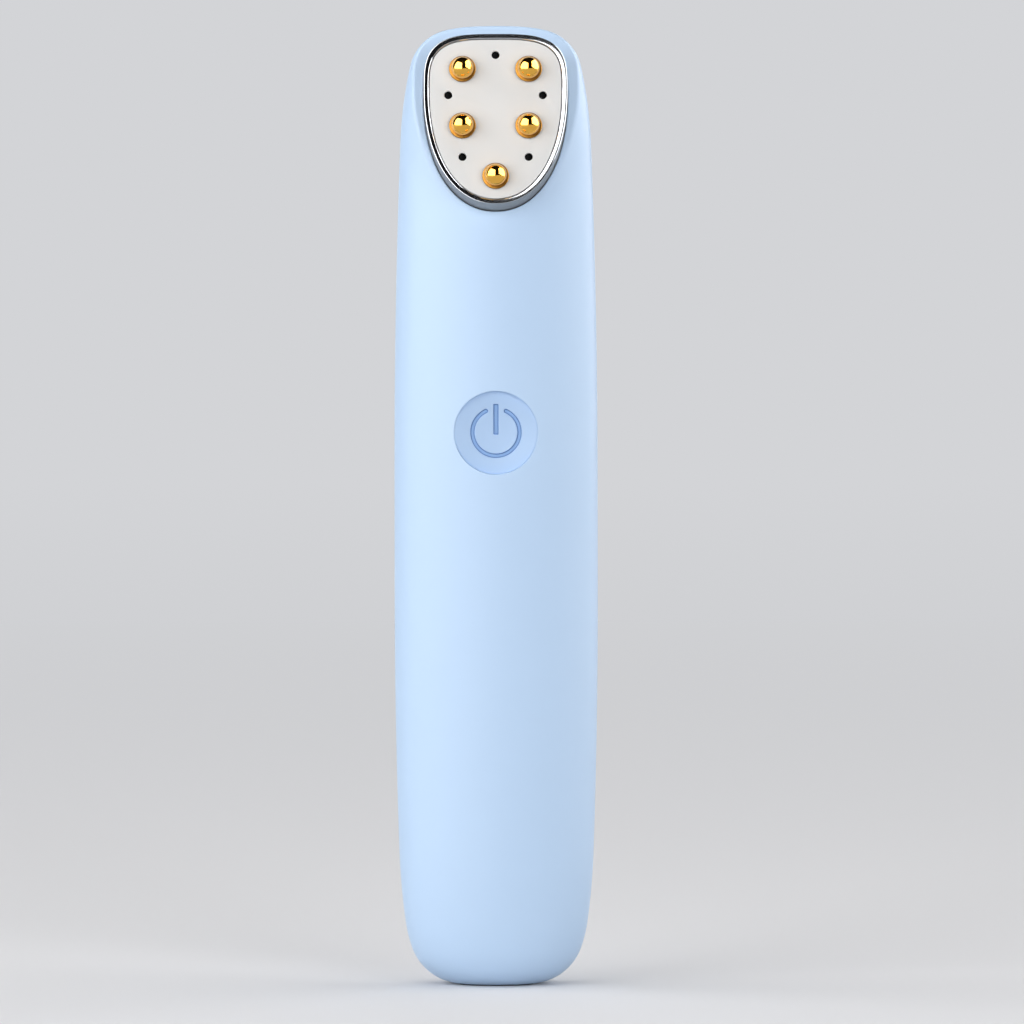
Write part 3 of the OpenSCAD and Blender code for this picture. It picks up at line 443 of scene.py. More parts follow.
def parting_outline():
    """The body's edge at the parting plane, as x and z."""
    row = OUTLINE[OUTLINE[:, 0] * DEPTH_RATIO > PARTING_Y + TINY]
    x = row[:, 0] * np.sqrt(1 - (PARTING_Y / (row[:, 0] * DEPTH_RATIO)) ** 2)
    right = np.stack((x, row[:, 1]), axis=1)
    left = right[::-1] * (-1, 1)
    return evenly(np.vstack((right, left)), PARTING_POINTS)


def groove_tool():
    """The loop of three-sided section that cuts the groove round the parting plane."""
    edge = parting_outline()
    along = np.roll(edge, -1, axis=0) - np.roll(edge, 1, axis=0)
    out = np.stack((along[:, 1], -along[:, 0]), axis=1)
    out /= np.linalg.norm(out, axis=1)[:, None]
    flare = GROOVE_HALF_W * (GROOVE_DEPTH + GROOVE_PAST) / GROOVE_DEPTH
    rings = []
    for off, y in ((-GROOVE_DEPTH, 0.0), (GROOVE_PAST, flare), (GROOVE_PAST, -flare)):
        at = edge + out * off
        rings.append(np.stack((at[:, 0], np.full(len(at), PARTING_Y + y), at[:, 1]), axis=1))
    return skin("groove_tool", rings, loop=True)


def block(name, low, high):
    """A box between two corners, as a tool for cutting."""
    (x0, y0, z0), (x1, y1, z1) = low, high
    corners = [(x0, y0), (x1, y0), (x1, y1), (x0, y1)]
    return skin(name, [[(x, y, z) for x, y in corners] for z in (z0, z1)])


FAR, FAR_UP = 60.0, 240.0

cut_out(body, groove_tool())
rear_shell = body.copy()
rear_shell.data = body.data.copy()
bpy.context.scene.collection.objects.link(rear_shell)
cut_out(body, block("behind", (-FAR, PARTING_Y, -FAR), (FAR, FAR, FAR_UP)))
cut_out(rear_shell, block("before", (-FAR, -FAR, -FAR), (FAR, PARTING_Y, FAR_UP)))
body.name, rear_shell.name = "soft_touch_front_shell", "soft_touch_rear_shell"


def srgb(red, green, blue):
    """A colour as it looks on a screen, 0 to 255, in the linear values that shaders take."""
    values = [c / 255 for c in (red, green, blue)]
    return tuple(c / 12.92 if c < 0.04045 else ((c + 0.055) / 1.055) ** 2.4 for c in values) + (1.0,)


BROAD_PATCH = 40
NOISE_DETAIL = 3.0
GLOSS_SPREAD = 0.1


def grained(name, colour, roughness, grain, depth, tone, metallic=0.0, stretch=(1, 1, 1), **sockets):
    """A finish with a fine grain that shows in its colour, its gloss and its surface.

    The grain's size and depth are in metres, and tone is the share by which its colour varies.
    """
    material = bpy.data.materials.new(name)
    material.use_nodes = True
    tree = material.node_tree
    shader = tree.nodes["Principled BSDF"]
    shader.inputs["Metallic"].default_value = metallic
    for socket, value in sockets.items():
        shader.inputs[socket.replace("_", " ")].default_value = value
    place = tree.nodes.new("ShaderNodeTexCoord")
    laid = tree.nodes.new("ShaderNodeMapping")
    laid.inputs["Scale"].default_value = stretch
    tree.links.new(place.outputs["Object"], laid.inputs["Vector"])
    fine, broad = (tree.nodes.new("ShaderNodeTexNoise") for _ in range(2))
    for noise, size in ((fine, grain), (broad, grain * BROAD_PATCH)):
        noise.inputs["Scale"].default_value = 1.0 / size
        noise.inputs["Detail"].default_value = NOISE_DETAIL
        tree.links.new(laid.outputs["Vector"], noise.inputs["Vector"])
    mix = tree.nodes.new("ShaderNodeMix")
    mix.data_type = "RGBA"
    mix.inputs["A"].default_value = tuple(c * (1 - tone) for c in colour[:3]) + (1.0,)
    mix.inputs["B"].default_value = tuple(min(1.0, c * (1 + tone)) for c in colour[:3]) + (1.0,)
    tree.links.new(broad.outputs["Fac"], mix.inputs["Factor"])
    tree.links.new(mix.outputs["Result"], shader.inputs["Base Color"])
    gloss = tree.nodes.new("ShaderNodeMapRange")
    gloss.inputs["To Min"].default_value = roughness * (1 - GLOSS_SPREAD)
    gloss.inputs["To Max"].default_value = min(1.0, roughness * (1 + GLOSS_SPREAD))
    tree.links.new(fine.outputs["Fac"], gloss.inputs["Value"])
    tree.links.new(gloss.outputs["Result"], shader.inputs["Roughness"])
    bump = tree.nodes.new("ShaderNodeBump")
    bump.inputs["Distance"].default_value = depth
    tree.links.new(fine.outputs["Fac"], bump.inputs["Height"])
    tree.links.new(bump.outputs["Normal"], shader.inputs["Normal"])
    return material


SLIVER = 1e-6


def shade(piece, angle=35.0):
    """Takes out the slivers that cutting left and shades smoothly, but not over sharper edges."""
    work = bmesh.new()
    work.from_mesh(piece.data)
    bmesh.ops.dissolve_degenerate(work, edges=work.edges, dist=SLIVER)
    work.to_mesh(piece.data)
    work.free()
    piece.data.shade_smooth()
    piece.data.set_sharp_from_angle(angle=math.radians(angle))


shell_finish = grained(
    "soft_touch_blue", srgb(195, 220, 248), roughness=0.38, grain=0.00012, depth=0.000002,
    tone=0.006, Specular_IOR_Level=0.2,
)
for shell, node in ((body, "front_shell"), (rear_shell, "rear_shell")):
    shell.data.materials.clear()
    shell.data.materials.append(shell_finish)
    shade(shell)
    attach(shell, "housing")
    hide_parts(node)

# Foot pad. A thin dark silicone oval with a softened lower edge. It is glued into the recess of
# the foot, and the pen stands on it.
PAD_EDGE = 0.12

pad_rings = [foot_ring(PAD_HALF_W - grow, depth) for grow, depth in edge_profile(PAD_EDGE)[::-1]]
pad_rings.append(foot_ring(PAD_HALF_W, PAD_T))
foot_pad = skin("silicone_foot_pad", pad_rings)
rubber = grained(
    "dark_silicone", srgb(38, 38, 40), roughness=0.75, grain=0.0002, depth=0.000004, tone=0.1
)
foot_pad.data.materials.append(rubber)
shade(foot_pad)
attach(foot_pad, "housing")
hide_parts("foot_pad")

# Head bezel. A drawn and plated steel band that stands in the opening of the slanted face. Its
# lip falls a little inwards, is rounded over and mirror polished; its sides are finely brushed,
# and their darker grey is painted shade.
BEZEL_H = 4.8
BEZEL_WALL = 0.9
BEZEL_LOW = -3.3
BEZEL_OUTER_R = 0.12
BEZEL_INNER_R = 0.3
LIP_FALL = math.radians(3.5)
OUTER_POINTS, INNER_POINTS = 9, 10
SIDE_LEAN = 0.1

lip = []
for a in np.linspace(0, math.pi / 2 + LIP_FALL, OUTER_POINTS):
    lip.append((BEZEL_OUTER_R * (1 - math.cos(a)), BEZEL_H - BEZEL_OUTER_R * (1 - math.sin(a))))
inner_at = BEZEL_WALL - BEZEL_INNER_R
lip_reach = inner_at + BEZEL_INNER_R * math.sin(LIP_FALL) - lip[-1][0]
inner_h = lip[-1][1] - lip_reach * math.tan(LIP_FALL) - BEZEL_INNER_R * math.cos(LIP_FALL)
for a in np.linspace(math.pi / 2 + LIP_FALL, math.pi, INNER_POINTS):
    lip.append((inner_at - BEZEL_INNER_R * math.cos(a), inner_h + BEZEL_INNER_R * math.sin(a)))
bezel_rings = [head_ring(BEZEL_WALL, BEZEL_LOW), head_ring(0.0, BEZEL_LOW)]
bezel_rings += [head_ring(inset, h) for inset, h in lip]
bezel = skin("polished_bezel", bezel_rings, loop=True)
chrome = grained(
    "polished_chrome", srgb(178, 180, 184), roughness=0.1, grain=0.0006, depth=0.0000005,
    tone=0.01, metallic=1.0,
)
# Brushed steel for the upright sides: the brushing is real, its darker grey is painted shade.
brushed = grained(
    "brushed_side_painted_shade", srgb(144, 141, 138), roughness=0.32, grain=0.0004, depth=0.000001,
    tone=0.03, metallic=0.7,
)
bezel.data.materials.append(chrome)
bezel.data.materials.append(brushed)
for face in bezel.data.polygons:
    height = out_of_face(np.array(face.center) / MM)
    upright = abs(np.dot(face.normal, FACE_OUT)) < SIDE_LEAN
    face.material_index = int(upright and height < BEZEL_H - BEZEL_OUTER_R)
shade(bezel)
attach(bezel, "housing")
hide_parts("head_bezel")

# Face plate. A stamped aluminium plate, fine blasted and anodised to a pale satin, with small
# drilled holes for the lights and larger ones for the electrodes.
PLATE_TOP = 4.7
PLATE_T = 0.8
PLATE_EDGE = 0.08
ELECTRODES = [(-5.67, 25.15), (5.67, 25.15), (-5.67, 15.15), (5.67, 15.15), (0.0, 6.25)]
LIGHTS = [(0.0, 27.7), (-8.1, 20.6), (8.1, 20.6), (-5.67, 9.7), (5.67, 9.7)]
LIGHT_R = 0.7
LIGHT_EDGE = 0.07
BUSH_HOLE_R = 1.35


def face_ring(at, radius, h, count=48):
    """A circle round a place on the slanted face, at a distance h out of it."""
    x, v = circle(radius, count)
    return on_face(at[0] + x, at[1] + v, h)


plate_rings = [head_ring(BEZEL_WALL + SLIP, PLATE_TOP - PLATE_T)]
for grow, depth in edge_profile(PLATE_EDGE):
    plate_rings.append(head_ring(BEZEL_WALL + SLIP + grow, PLATE_TOP - depth))
face_plate = skin("satin_face_plate", plate_rings)
tool_low, tool_high = PLATE_TOP - PLATE_T - TOOL_PAST, PLATE_TOP + TOOL_PAST
for at in ELECTRODES:
    rings = [face_ring(at, BUSH_HOLE_R, h) for h in (tool_low, tool_high)]
    cut_out(face_plate, skin("hole", rings))
light_edge = edge_profile(LIGHT_EDGE)
for at in LIGHTS:
    rings = [face_ring(at, LIGHT_R, tool_low)]
    rings += [face_ring(at, LIGHT_R + grow, PLATE_TOP - depth) for grow, depth in light_edge]
    rings.append(face_ring(at, LIGHT_R + LIGHT_EDGE, tool_high))
    cut_out(face_plate, skin("hole", rings))
satin = grained(
    "satin_plate", srgb(221, 221, 220), roughness=0.55, grain=0.00008, depth=0.000001,
    tone=0.008, Specular_IOR_Level=0.15,
)
face_plate.data.materials.clear()
face_plate.data.materials.append(satin)
shade(face_plate, angle=30.0)
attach(face_plate, "housing")
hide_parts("face_plate")

# Electrodes. Five turned brass balls, polished and gold plated, each on a thin flange that is left
# satin. The flange's much darker brown gold is painted shade. Each one's threaded stud goes through
# an insulating bush and is held by a nut behind the head board.
BALL_R = 1.92
BALL_LIFT = 0.65
FLANGE_R = 2.3
FLANGE_T = 0.3
BUSH_FLANGE_T = 0.2
STUD_R = 0.8
STUD_LOW = -1.5
STUD_CHAMFER = 0.15
FLANGE_POINTS, BALL_POINTS, BALL_SIDES = 9, 40, 64
TOLERANCE = 0.01


def electrode_profile():
    """Radius and height of an electrode from the end of its stud to the top of its ball."""
    seat = PLATE_TOP + BUSH_FLANGE_T
    centre = seat + FLANGE_T + BALL_LIFT
    profile = [(0.0, STUD_LOW), (STUD_R - STUD_CHAMFER, STUD_LOW)]
    profile += [(STUD_R, STUD_LOW + STUD_CHAMFER), (STUD_R, seat)]
    edge = FLANGE_T / 2
    for a in np.linspace(-math.pi / 2, math.pi / 2, FLANGE_POINTS):
        profile.append((FLANGE_R - edge + edge * math.cos(a), seat + edge + edge * math.sin(a)))
    start = math.asin(-BALL_LIFT / BALL_R)
    for a in np.linspace(start, math.pi / 2, BALL_POINTS):
        profile.append((BALL_R * math.cos(a), centre + BALL_R * math.sin(a)))
    return profile


gold = grained(
    "polished_gold", srgb(235, 178, 68), roughness=0.07, grain=0.0004, depth=0.0000004,
    tone=0.02, metallic=1.0, Coat_Weight=0.55,
)
# Satin gold for the flanges: the satin is real, its dark brown colour is painted shade.
satin_gold_painted_shade = grained(
    "satin_gold_painted_shade", srgb(138, 98, 41), roughness=0.35, grain=0.0004, depth=0.0000004,
    tone=0.02, metallic=1.0,
)
flange_top = PLATE_TOP + BUSH_FLANGE_T + FLANGE_T
for number, at in enumerate(ELECTRODES, 1):
    rings = [face_ring(at, r, h, BALL_SIDES) for r, h in electrode_profile()]
    ball = skin(f"gold_electrode_{number}", rings)
    ball.data.materials.append(gold)
    ball.data.materials.append(satin_gold_painted_shade)
    for face in ball.data.polygons:
        height = out_of_face(np.array(face.center) / MM)
        face.material_index = int(height < flange_top + TOLERANCE)
    shade(ball, angle=30.0)
    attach(ball, "housing")
    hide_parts(f"electrode_{number}")

# Light lenses. Small smoked lenses with a domed end just below the plate's face, each in front
# of a light emitting diode on the head board.
LENS_R = 0.65
LENS_COLLAR_R = 1.1
LENS_LOW = 1.9
LENS_COLLAR_T = 0.8
LENS_DROP = 0.25
LENS_DOME = 0.12
DOME_POINTS, LENS_SIDES = 7, 32

lens_top = PLATE_TOP - LENS_DROP
collar_top = LENS_LOW + LENS_COLLAR_T
profile = [(0.0, LENS_LOW), (LENS_COLLAR_R, LENS_LOW), (LENS_COLLAR_R, collar_top)]
profile += [(LENS_R, collar_top), (LENS_R, lens_top - LENS_DOME)]
for a in np.linspace(0.0, math.pi / 2, DOME_POINTS)[1:]:
    profile.append((LENS_R * math.cos(a), lens_top - LENS_DOME * (1 - math.sin(a))))
smoked = grained(
    "smoked_lens", srgb(5, 5, 6), roughness=0.4, grain=0.0003, depth=0.0000005,
    tone=0.1, Specular_IOR_Level=0.03,
)
for number, at in enumerate(LIGHTS, 1):
    lens = skin(f"smoked_lens_{number}", [face_ring(at, r, h, LENS_SIDES) for r, h in profile])
    lens.data.materials.append(smoked)
    shade(lens)
    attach(lens, "housing")
    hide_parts(f"light_lens_{number}")

# Power button. A moulded cap of the same plastic with a shallow round dish; its darker blue is
# painted shade of the dish. An open ring and a bar are engraved in it, with a darker blue floor,
# and the still darker blue of their sloped sides is painted shade. It slides in the front shell's
# hole, on the switch.
DISH_R = 40.0
BUTTON_RIM = 0.25
BUTTON_SINK = 0.1
CAP_SLIP = 0.015
CAP_EDGE = 0.06
FLANGE_DROP = 2.2
STEM_R = 1.6
BUTTON_FLANGE_REACH = 0.9
BUTTON_FLANGE_T = 0.8
BUTTON_T = 1.2
BUTTON_SKIRT = 1.0
SYMBOL_R = 4.04
SYMBOL_W = 0.72
SYMBOL_DEPTH = 0.3
SYMBOL_GAP = math.radians(25)
BAR_LOW, BAR_HIGH = -0.4, 4.85
BAR_HALF_W = 0.43
SYMBOL_EDGE = 0.13
SYMBOL_SLOPE = 0.17
SYMBOL_MARGIN = 0.2
DISH_POINTS = 40
BAR_POINTS, RING_POINTS, END_POINTS = 80, 97, 13

button_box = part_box("power_button")
CAP_R = HOLE_R - CAP_SLIP
rim_y = float(front_y(CAP_R, BUTTON_Z)) + BUTTON_SINK
dish_edge = CAP_R - BUTTON_RIM
dish_centre_y = rim_y - math.sqrt(DISH_R**2 - dish_edge**2)


def dish_y(r):
    """The cap's front at a distance from the button's middle: a dish inside a flat rim."""
    return dish_centre_y + np.sqrt(DISH_R**2 - np.minimum(r, dish_edge) ** 2)


def turned_y(profile, z, count=192):
    """Rings about an axis along y at height z, from radii and y places."""
    rings = []
    for r, y in profile:
        x, up = circle(r, count)
        rings.append(np.stack((x, np.full_like(x, y), z + up), axis=1))
    return rings


roof_y = float(dish_y(0.0)) + BUTTON_T
stem_y = button_box[1].y / MM
flange_r, skirt_r = BUTTON_R + BUTTON_FLANGE_REACH, BUTTON_R - BUTTON_SKIRT
flange_front = rim_y + FLANGE_DROP
flange_back = flange_front + BUTTON_FLANGE_T
profile = [(r, float(dish_y(r))) for r in np.linspace(0.0, dish_edge, DISH_POINTS)]
profile += [(CAP_R - grow, rim_y + depth) for grow, depth in edge_profile(CAP_EDGE)[::-1]]
profile += [(CAP_R, flange_front), (flange_r, flange_front), (flange_r, flange_back)]
profile += [(skirt_r, flange_back), (skirt_r, roof_y), (STEM_R, roof_y), (STEM_R, stem_y), (0.0, stem_y)]
button = skin("dished_power_button", turned_y(profile, BUTTON_Z))


def symbol_part(grow, part):
    """Outline of the symbol's ring or bar as x and z, grown by an amount."""
    half = SYMBOL_W / 2 + grow
    if part == "bar":
        w, low, high = BAR_HALF_W + grow, BAR_LOW - grow, BAR_HIGH + grow
        corner = [(w, low), (w, high), (-w, high), (-w, low)]
        return evenly(np.array(corner), BAR_POINTS)
    sweep = np.linspace(SYMBOL_GAP, 2 * math.pi - SYMBOL_GAP, RING_POINTS)
    clock = np.stack((np.sin(sweep), np.cos(sweep)), axis=1)
    points = [clock * (SYMBOL_R + half)]
    for at, turn in ((sweep[-1], 1), (sweep[0], -1)):
        middle = SYMBOL_R * np.array((math.sin(at), math.cos(at)))
        out = np.array((math.sin(at), math.cos(at))) * turn
        along = np.array((math.cos(at), -math.sin(at))) * turn
        b = np.linspace(0, math.pi, END_POINTS)[1:-1, None]
        points.append(middle + half * (np.cos(b) * out + np.sin(b) * along))
        if turn == 1:
            points.append(clock[::-1] * (SYMBOL_R - half))
    return np.vstack(points)


groove_wall = [(-SYMBOL_SLOPE, SYMBOL_DEPTH)] + edge_profile(SYMBOL_EDGE) + [(SYMBOL_EDGE, -TOOL_PAST)]
for part in ("ring", "bar"):
    rings = []
    for grow, depth in groove_wall:
        x, z = symbol_part(grow, part).T
        rings.append(np.stack((x, dish_y(np.hypot(x, z)) + depth, BUTTON_Z + z), axis=1))
    cut_out(button, skin("symbol_tool", rings))
# The cap's blue is darker than the shells' as painted shade of the dish.
button_painted_shade_finish = grained(
    "soft_touch_button_painted_shade", srgb(180, 207, 240), roughness=0.38, grain=0.00012, depth=0.000002,
    tone=0.006, Specular_IOR_Level=0.2,
)
symbol_floor = grained(
    "symbol_floor", srgb(133, 169, 215), roughness=0.45, grain=0.00012, depth=0.000002, tone=0.01
)
# Sloped sides of the engraving in a still darker blue: painted shade.
symbol_side_painted_shade = grained(
    "symbol_side_painted_shade", srgb(94, 133, 188), roughness=0.45, grain=0.00012, depth=0.000002, tone=0.01
)
button.data.materials.clear()
button.data.materials.append(button_painted_shade_finish)
button.data.materials.append(symbol_floor)
button.data.materials.append(symbol_side_painted_shade)
# The engraving's floor gets the darker blue, and its sloped sides the painted shade.
for face in button.data.polygons:
    corners = np.array([button.data.vertices[i].co for i in face.vertices]) / MM
    reach = np.hypot(corners[:, 0], corners[:, 2] - BUTTON_Z)
    below = corners[:, 1] - dish_y(reach)
    in_symbol = reach.max() < BAR_HIGH + SYMBOL_MARGIN and below.max() < SYMBOL_DEPTH + TOLERANCE
    if in_symbol and below.min() > SYMBOL_EDGE - TOLERANCE:
        face.material_index = 1 if below.min() > SYMBOL_DEPTH - TOLERANCE else 2
shade(button, angle=30.0)
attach(button, "button")
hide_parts("power_button")

# Guide and switch of the button. A white moulded ring behind the front wall traps the cap's flange.
# The cap's stem rests on the black plunger of a moulded switch that is soldered on the main board.
white_plastic = grained(
    "white_plastic", srgb(230, 229, 224), roughness=0.5, grain=0.0003, depth=0.000003, tone=0.02
)
resin = grained(
    "component_resin", srgb(34, 34, 36), roughness=0.55, grain=0.0001, depth=0.000004, tone=0.1
)
plunger_black = grained(
    "plunger_black", srgb(18, 18, 18), roughness=0.4, grain=0.0002, depth=0.000002, tone=0.1
)


def finish_nodes(material, *names):
    """Gives nodes, which keep the form that the frame has, the finish of their real material."""
    for name in names:
        mesh = nodes[name].data
        mesh.materials.clear()
        mesh.materials.append(material)


finish_nodes(white_plastic, "button_guide")
finish_nodes(resin, "tact_switch")
finish_nodes(plunger_black, "switch_plunger")

# Inside of the head. A white moulded carrier and bushes insulate the electrodes, brass nuts hold
# them, a silicone gasket seals the bezel, and resin-cast diodes are soldered on the head board. A
# ribbon of amber film joins that board to the main board.
bushes = [f"electrode_bush_{i}" for i in range(1, len(ELECTRODES) + 1)]
diodes = [f"led_{i}" for i in range(1, len(LIGHTS) + 1)]
nut_brass = grained(
    "nut_brass", srgb(205, 168, 92), roughness=0.3, grain=0.0003, depth=0.000002,
    tone=0.05, metallic=1.0,
)
diode_resin = grained(
    "diode_resin", srgb(240, 236, 205), roughness=0.25, grain=0.0002, depth=0.000001, tone=0.03
)
film = grained(
    "polyimide_film", srgb(190, 128, 40), roughness=0.25, grain=0.0006, depth=0.000003, tone=0.1
)
finish_nodes(white_plastic, "head_carrier", *bushes)
finish_nodes(rubber, "head_gasket")
finish_nodes(nut_brass, "electrode_nuts")
finish_nodes(diode_resin, *diodes)
finish_nodes(film, "head_flex")

# Chassis and screws. A moulded grey frame that carries the boards, the cell and the motor, and is
# screwed to the rear shell from within. The base screw comes from below, hidden by the foot pad.
chassis_grey = grained(
    "chassis_grey", srgb(212, 212, 216), roughness=0.55, grain=0.0003, depth=0.000004, tone=0.02
)
steel = grained(
    "screw_steel", srgb(190, 190, 194), roughness=0.3, grain=0.0002, depth=0.000002,
    tone=0.05, metallic=1.0,
)
finish_nodes(chassis_grey, "chassis")
finish_nodes(steel, "base_screw", "chassis_screws", "port_screws")

# Vibration motor. A drawn steel can with fine lines along it, clipped in the chassis, with a steel
# shaft and a sintered eccentric weight pressed on it, and two blue leads.
ALONG_CAN = (1, 1, 0.05)

can_steel = grained(
    "motor_can_steel", srgb(188, 188, 192), roughness=0.28, grain=0.0003, depth=0.000002,
    tone=0.04, metallic=1.0, stretch=ALONG_CAN,
)
sintered = grained(
    "sintered_weight", srgb(128, 124, 118), roughness=0.5, grain=0.0001, depth=0.000006,
    tone=0.1, metallic=1.0,
)
blue_lead = grained(
    "blue_insulation", srgb(52, 78, 178), roughness=0.4, grain=0.0003, depth=0.000002, tone=0.05
)
finish_nodes(can_steel, "motor_can")
finish_nodes(steel, "motor_shaft")
finish_nodes(sintered, "eccentric_weight")
finish_nodes(blue_lead, "motor_leads")

# Boards. Glass-fibre boards under a green mask. The chip, the inductor, the transformer with its
# winding of enamelled wire, the capacitor and the battery's connector are soldered on the main one.
WIRE_TURNS = (0.1, 0.1, 1)

board_mask = grained(
    "board_mask", srgb(26, 96, 58), roughness=0.3, grain=0.0009, depth=0.00002, tone=0.15
)
ferrite = grained("ferrite", srgb(54, 52, 54), roughness=0.6, grain=0.0001, depth=0.000008, tone=0.15)
wire = grained(
    "enamelled_wire", srgb(190, 105, 45), roughness=0.3, grain=0.0002, depth=0.00003,
    tone=0.15, metallic=1.0, stretch=WIRE_TURNS,
)
sleeve = grained(
    "capacitor_sleeve", srgb(42, 46, 78), roughness=0.3, grain=0.0003, depth=0.000002, tone=0.05
)
nylon = grained(
    "connector_nylon", srgb(236, 233, 220), roughness=0.5, grain=0.0003, depth=0.000003, tone=0.02
)
finish_nodes(board_mask, "main_board", "head_board", "port_board")
finish_nodes(resin, "controller_chip", "boost_inductor")
finish_nodes(ferrite, "rf_transformer_core")
finish_nodes(wire, "rf_transformer_winding")
finish_nodes(sleeve, "filter_capacitor")
finish_nodes(nylon, "battery_connector")

# Battery. A wound cell in a blue shrink wrap, held on the chassis by white foam tape, with a red
# and a black lead to its connector.
cell_wrap = grained(
    "cell_wrap", srgb(90, 128, 182), roughness=0.25, grain=0.0008, depth=0.000006, tone=0.05
)
foam_tape = grained(
    "foam_tape", srgb(228, 228, 228), roughness=0.8, grain=0.0002, depth=0.00002, tone=0.04
)
red_lead = grained(
    "red_insulation", srgb(178, 32, 26), roughness=0.4, grain=0.0003, depth=0.000002, tone=0.05
)
black_lead = grained(
    "black_insulation", srgb(26, 26, 26), roughness=0.4, grain=0.0003, depth=0.000002, tone=0.1
)
finish_nodes(cell_wrap, "battery_cell")
finish_nodes(foam_tape, "battery_tape")
finish_nodes(red_lead, "battery_lead_red")
finish_nodes(black_lead, "battery_lead_black")

# Charging port. A drawn and nickel-plated steel shell with rolled edges round a dark moulded
# tongue, soldered on the port board, with its mouth in the rear shell's slot. Its leads are red.
PORT_SHEET = 0.3
PORT_EDGE = 0.1
PORT_EDGE_POINTS = 4

port_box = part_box("port_shell")
port_back, port_mouth = port_box[0].y / MM, port_box[1].y / MM


def slot_ring(inset, y):
    """The port shell's outline, drawn in by inset, at a place along y."""
    x, z = slot_outline(PORT_W - 2 * inset, PORT_H - 2 * inset).T
    return np.stack((x, np.full_like(x, y), z + PORT_Z), axis=1)


mouth_edge = edge_profile(PORT_EDGE, PORT_EDGE_POINTS)
port_rings = [slot_ring(0.0, port_back)]
port_rings += [slot_ring(grow, port_mouth - depth) for grow, depth in mouth_edge]
port_rings += [slot_ring(PORT_SHEET - grow, port_mouth - depth) for grow, depth in mouth_edge[::-1]]
port_rings.append(slot_ring(PORT_SHEET, port_back + PORT_SHEET))
port_shell = skin("plated_port_shell", port_rings)
nickel = grained(
    "nickel_plate", srgb(196, 196, 198), roughness=0.25, grain=0.0002, depth=0.000001,
    tone=0.03, metallic=1.0,
)
port_shell.data.materials.append(nickel)
shade(port_shell)
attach(port_shell, "housing")
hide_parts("port_shell")
tongue_resin = grained(
    "tongue_resin", srgb(22, 22, 24), roughness=0.45, grain=0.0002, depth=0.000002, tone=0.1
)
finish_nodes(tongue_resin, "port_tongue")
finish_nodes(red_lead, "port_leads")

# Studio. A sheet of pale paper lies under the pen and curves up far behind it, in a dark room. To
# the camera and in reflections the paper is a little paler and glows behind the pen. Six lamps
# give the even light, and two large ones only the sheen of glossy surfaces.
PAPER_SEEN = srgb(227, 227, 229)
PAPER_LIT = srgb(190, 190, 192)
PAPER_ROUGHNESS = 0.9
PAPER_SHEEN = 0.1
BACKDROP = srgb(211, 212, 215)
FLOOR_FRONT, FLOOR_BACK = -9.0, 4.6
SWEEP_R = 1.6
SWEEP_POINTS = 17
BACKDROP_H = 3.5
STAGE_HALF_W = 6.0
GLOW_FROM, GLOW_TO = 0.02, 0.8
FULL_FROM, FULL_TO = 0.3, 1.2
GLOW_NEAR, GLOW_FULL = 0.92, 1.0
ROOM = (0.01, 0.01, 0.011, 1.0)

profile = [(FLOOR_FRONT, 0.0), (FLOOR_BACK, 0.0)]
for a in np.linspace(0, math.pi / 2, SWEEP_POINTS)[1:]:
    profile.append((FLOOR_BACK + SWEEP_R * math.sin(a), SWEEP_R * (1 - math.cos(a))))
profile.append((FLOOR_BACK + SWEEP_R, BACKDROP_H))
stage_mesh = bpy.data.meshes.new("floor_and_backdrop")
stage_mesh.from_pydata(
    [(side * STAGE_HALF_W, y, z) for y, z in profile for side in (-1, 1)], [],
    [(2 * i, 2 * i + 1, 2 * i + 3, 2 * i + 2) for i in range(len(profile) - 1)],
)
stage_mesh.shade_smooth()
stage = bpy.data.objects.new("floor_and_backdrop", stage_mesh)
bpy.context.scene.collection.objects.link(stage)

paper = bpy.data.materials.new("studio_paper")
paper.use_nodes = True
tree = paper.node_tree
shader = tree.nodes["Principled BSDF"]
shader.inputs["Roughness"].default_value = PAPER_ROUGHNESS
shader.inputs["Specular IOR Level"].default_value = PAPER_SHEEN
ray = tree.nodes.new("ShaderNodeLightPath")
seen_ray = tree.nodes.new("ShaderNodeMath")
seen_ray.operation = "MAXIMUM"
tree.links.new(ray.outputs["Is Camera Ray"], seen_ray.inputs[0])
tree.links.new(ray.outputs["Is Glossy Ray"], seen_ray.inputs[1])
tone = tree.nodes.new("ShaderNodeMix")
tone.data_type = "RGBA"
tone.inputs["A"].default_value = PAPER_LIT
tone.inputs["B"].default_value = PAPER_SEEN
tree.links.new(seen_ray.outputs[0], tone.inputs["Factor"])
tree.links.new(tone.outputs["Result"], shader.inputs["Base Color"])

spot = tree.nodes.new("ShaderNodeTexCoord")
axes = tree.nodes.new("ShaderNodeSeparateXYZ")
tree.links.new(spot.outputs["Object"], axes.inputs["Vector"])


def along_y(low, high, near, far):
    """A node value that goes from near to far as the floor's y goes from low to high."""
    node = tree.nodes.new("ShaderNodeMapRange")
    tree.links.new(axes.outputs["Y"], node.inputs["Value"])
    for socket, value in (("From Min", low), ("From Max", high), ("To Min", near), ("To Max", far)):
        node.inputs[socket].default_value = value
    return node.outputs["Result"]


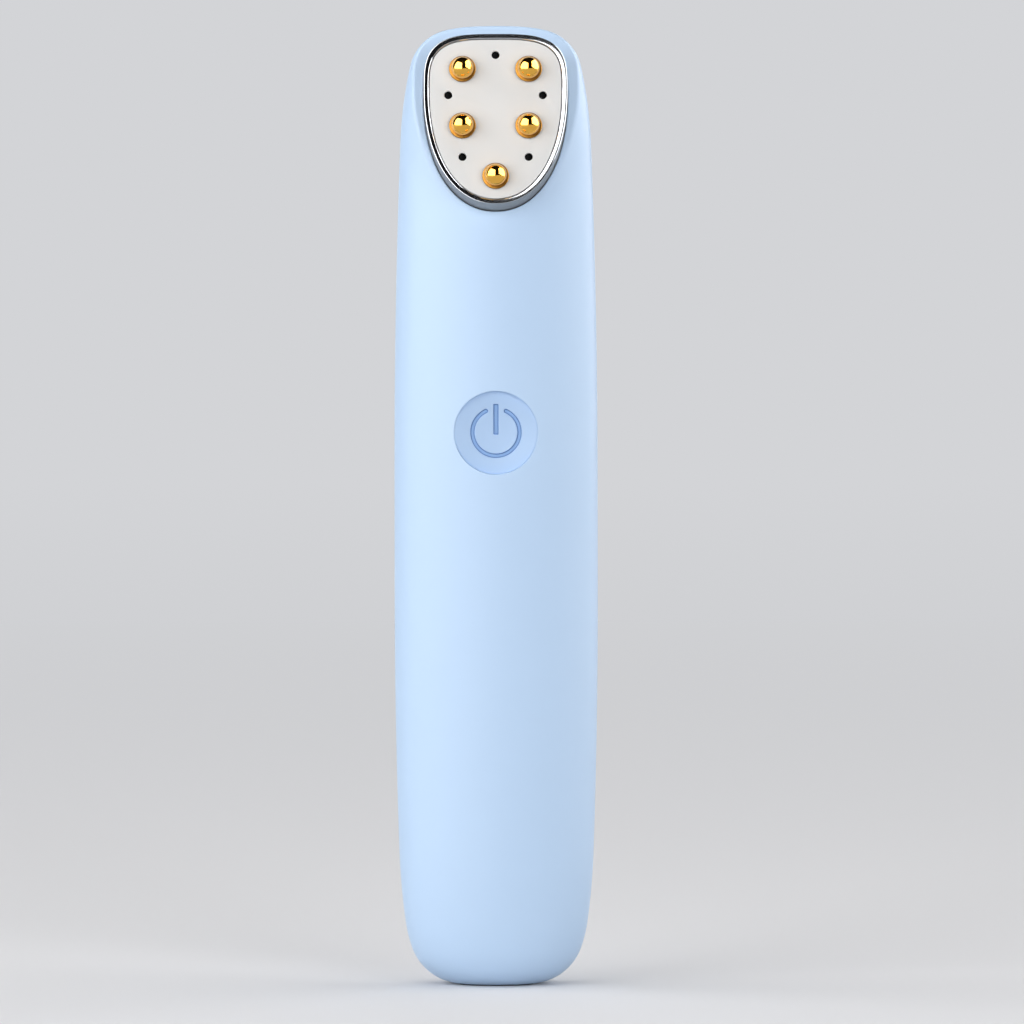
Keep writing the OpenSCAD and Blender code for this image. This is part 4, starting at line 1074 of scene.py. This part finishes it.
glow = tree.nodes.new("ShaderNodeEmission")
glow.inputs["Color"].default_value = BACKDROP
tree.links.new(along_y(FULL_FROM, FULL_TO, GLOW_NEAR, GLOW_FULL), glow.inputs["Strength"])
glow_share = tree.nodes.new("ShaderNodeMath")
glow_share.operation = "MULTIPLY"
tree.links.new(seen_ray.outputs[0], glow_share.inputs[0])
tree.links.new(along_y(GLOW_FROM, GLOW_TO, 0.0, 1.0), glow_share.inputs[1])
surface = tree.nodes.new("ShaderNodeMixShader")
tree.links.new(glow_share.outputs[0], surface.inputs["Fac"])
tree.links.new(shader.outputs["BSDF"], surface.inputs[1])
tree.links.new(glow.outputs["Emission"], surface.inputs[2])
tree.links.new(surface.outputs["Shader"], tree.nodes["Material Output"].inputs["Surface"])
stage_mesh.materials.append(paper)


def softbox(name, place, aim, size, power, sheen=False, roll=0.0):
    """A rectangular softbox that faces a point. It gives only the even light, or only the sheen."""
    light = bpy.data.lights.new(name, "AREA")
    light.shape = "RECTANGLE"
    light.size, light.size_y = size
    light.energy = power
    lamp = bpy.data.objects.new(name, light)
    lamp.visible_glossy = sheen
    lamp.visible_diffuse = not sheen
    lamp.location = place
    turn = (Vector(place) - Vector(aim)).to_track_quat("Z", "Y").to_matrix()
    lamp.rotation_euler = (turn @ Matrix.Rotation(math.radians(roll), 3, "Z")).to_euler()
    bpy.context.scene.collection.objects.link(lamp)


LAMP_AIM = (0, 0, 0.1)
softbox("left_sheen", (-0.92, -0.86, 1.15), aim=(0, 0, 1.15), size=(2.2, 2.2), power=92, sheen=True)
softbox("right_sheen", (1.2, 0.1, 1.0), aim=(0, 0.1, 1.0), size=(3.0, 2.2), power=132, sheen=True, roll=-25)
softbox("left_side", (-1.9, 0.3, 0.9), aim=LAMP_AIM, size=(1.2, 1.6), power=15)
softbox("left_front", (-1.3, -1.2, 0.65), aim=LAMP_AIM, size=(1.6, 1.4), power=22)
softbox("right_front", (1.05, -2.05, 0.7), aim=LAMP_AIM, size=(1.2, 1.2), power=22.5)
softbox("right_side", (1.6, 0.2, 0.9), aim=LAMP_AIM, size=(1.6, 1.6), power=10.3)
softbox("overhead", (0, 0.3, 2.2), aim=LAMP_AIM, size=(2.4, 1.6), power=19)
softbox("behind", (0.3, 2.6, 1.6), aim=LAMP_AIM, size=(1.6, 1.2), power=8)

world = bpy.data.worlds.new("dark_room")
world.use_nodes = True
world.node_tree.nodes["Background"].inputs["Color"].default_value = ROOM
bpy.context.scene.world = world
bpy.context.scene.view_settings.view_transform = "Standard"
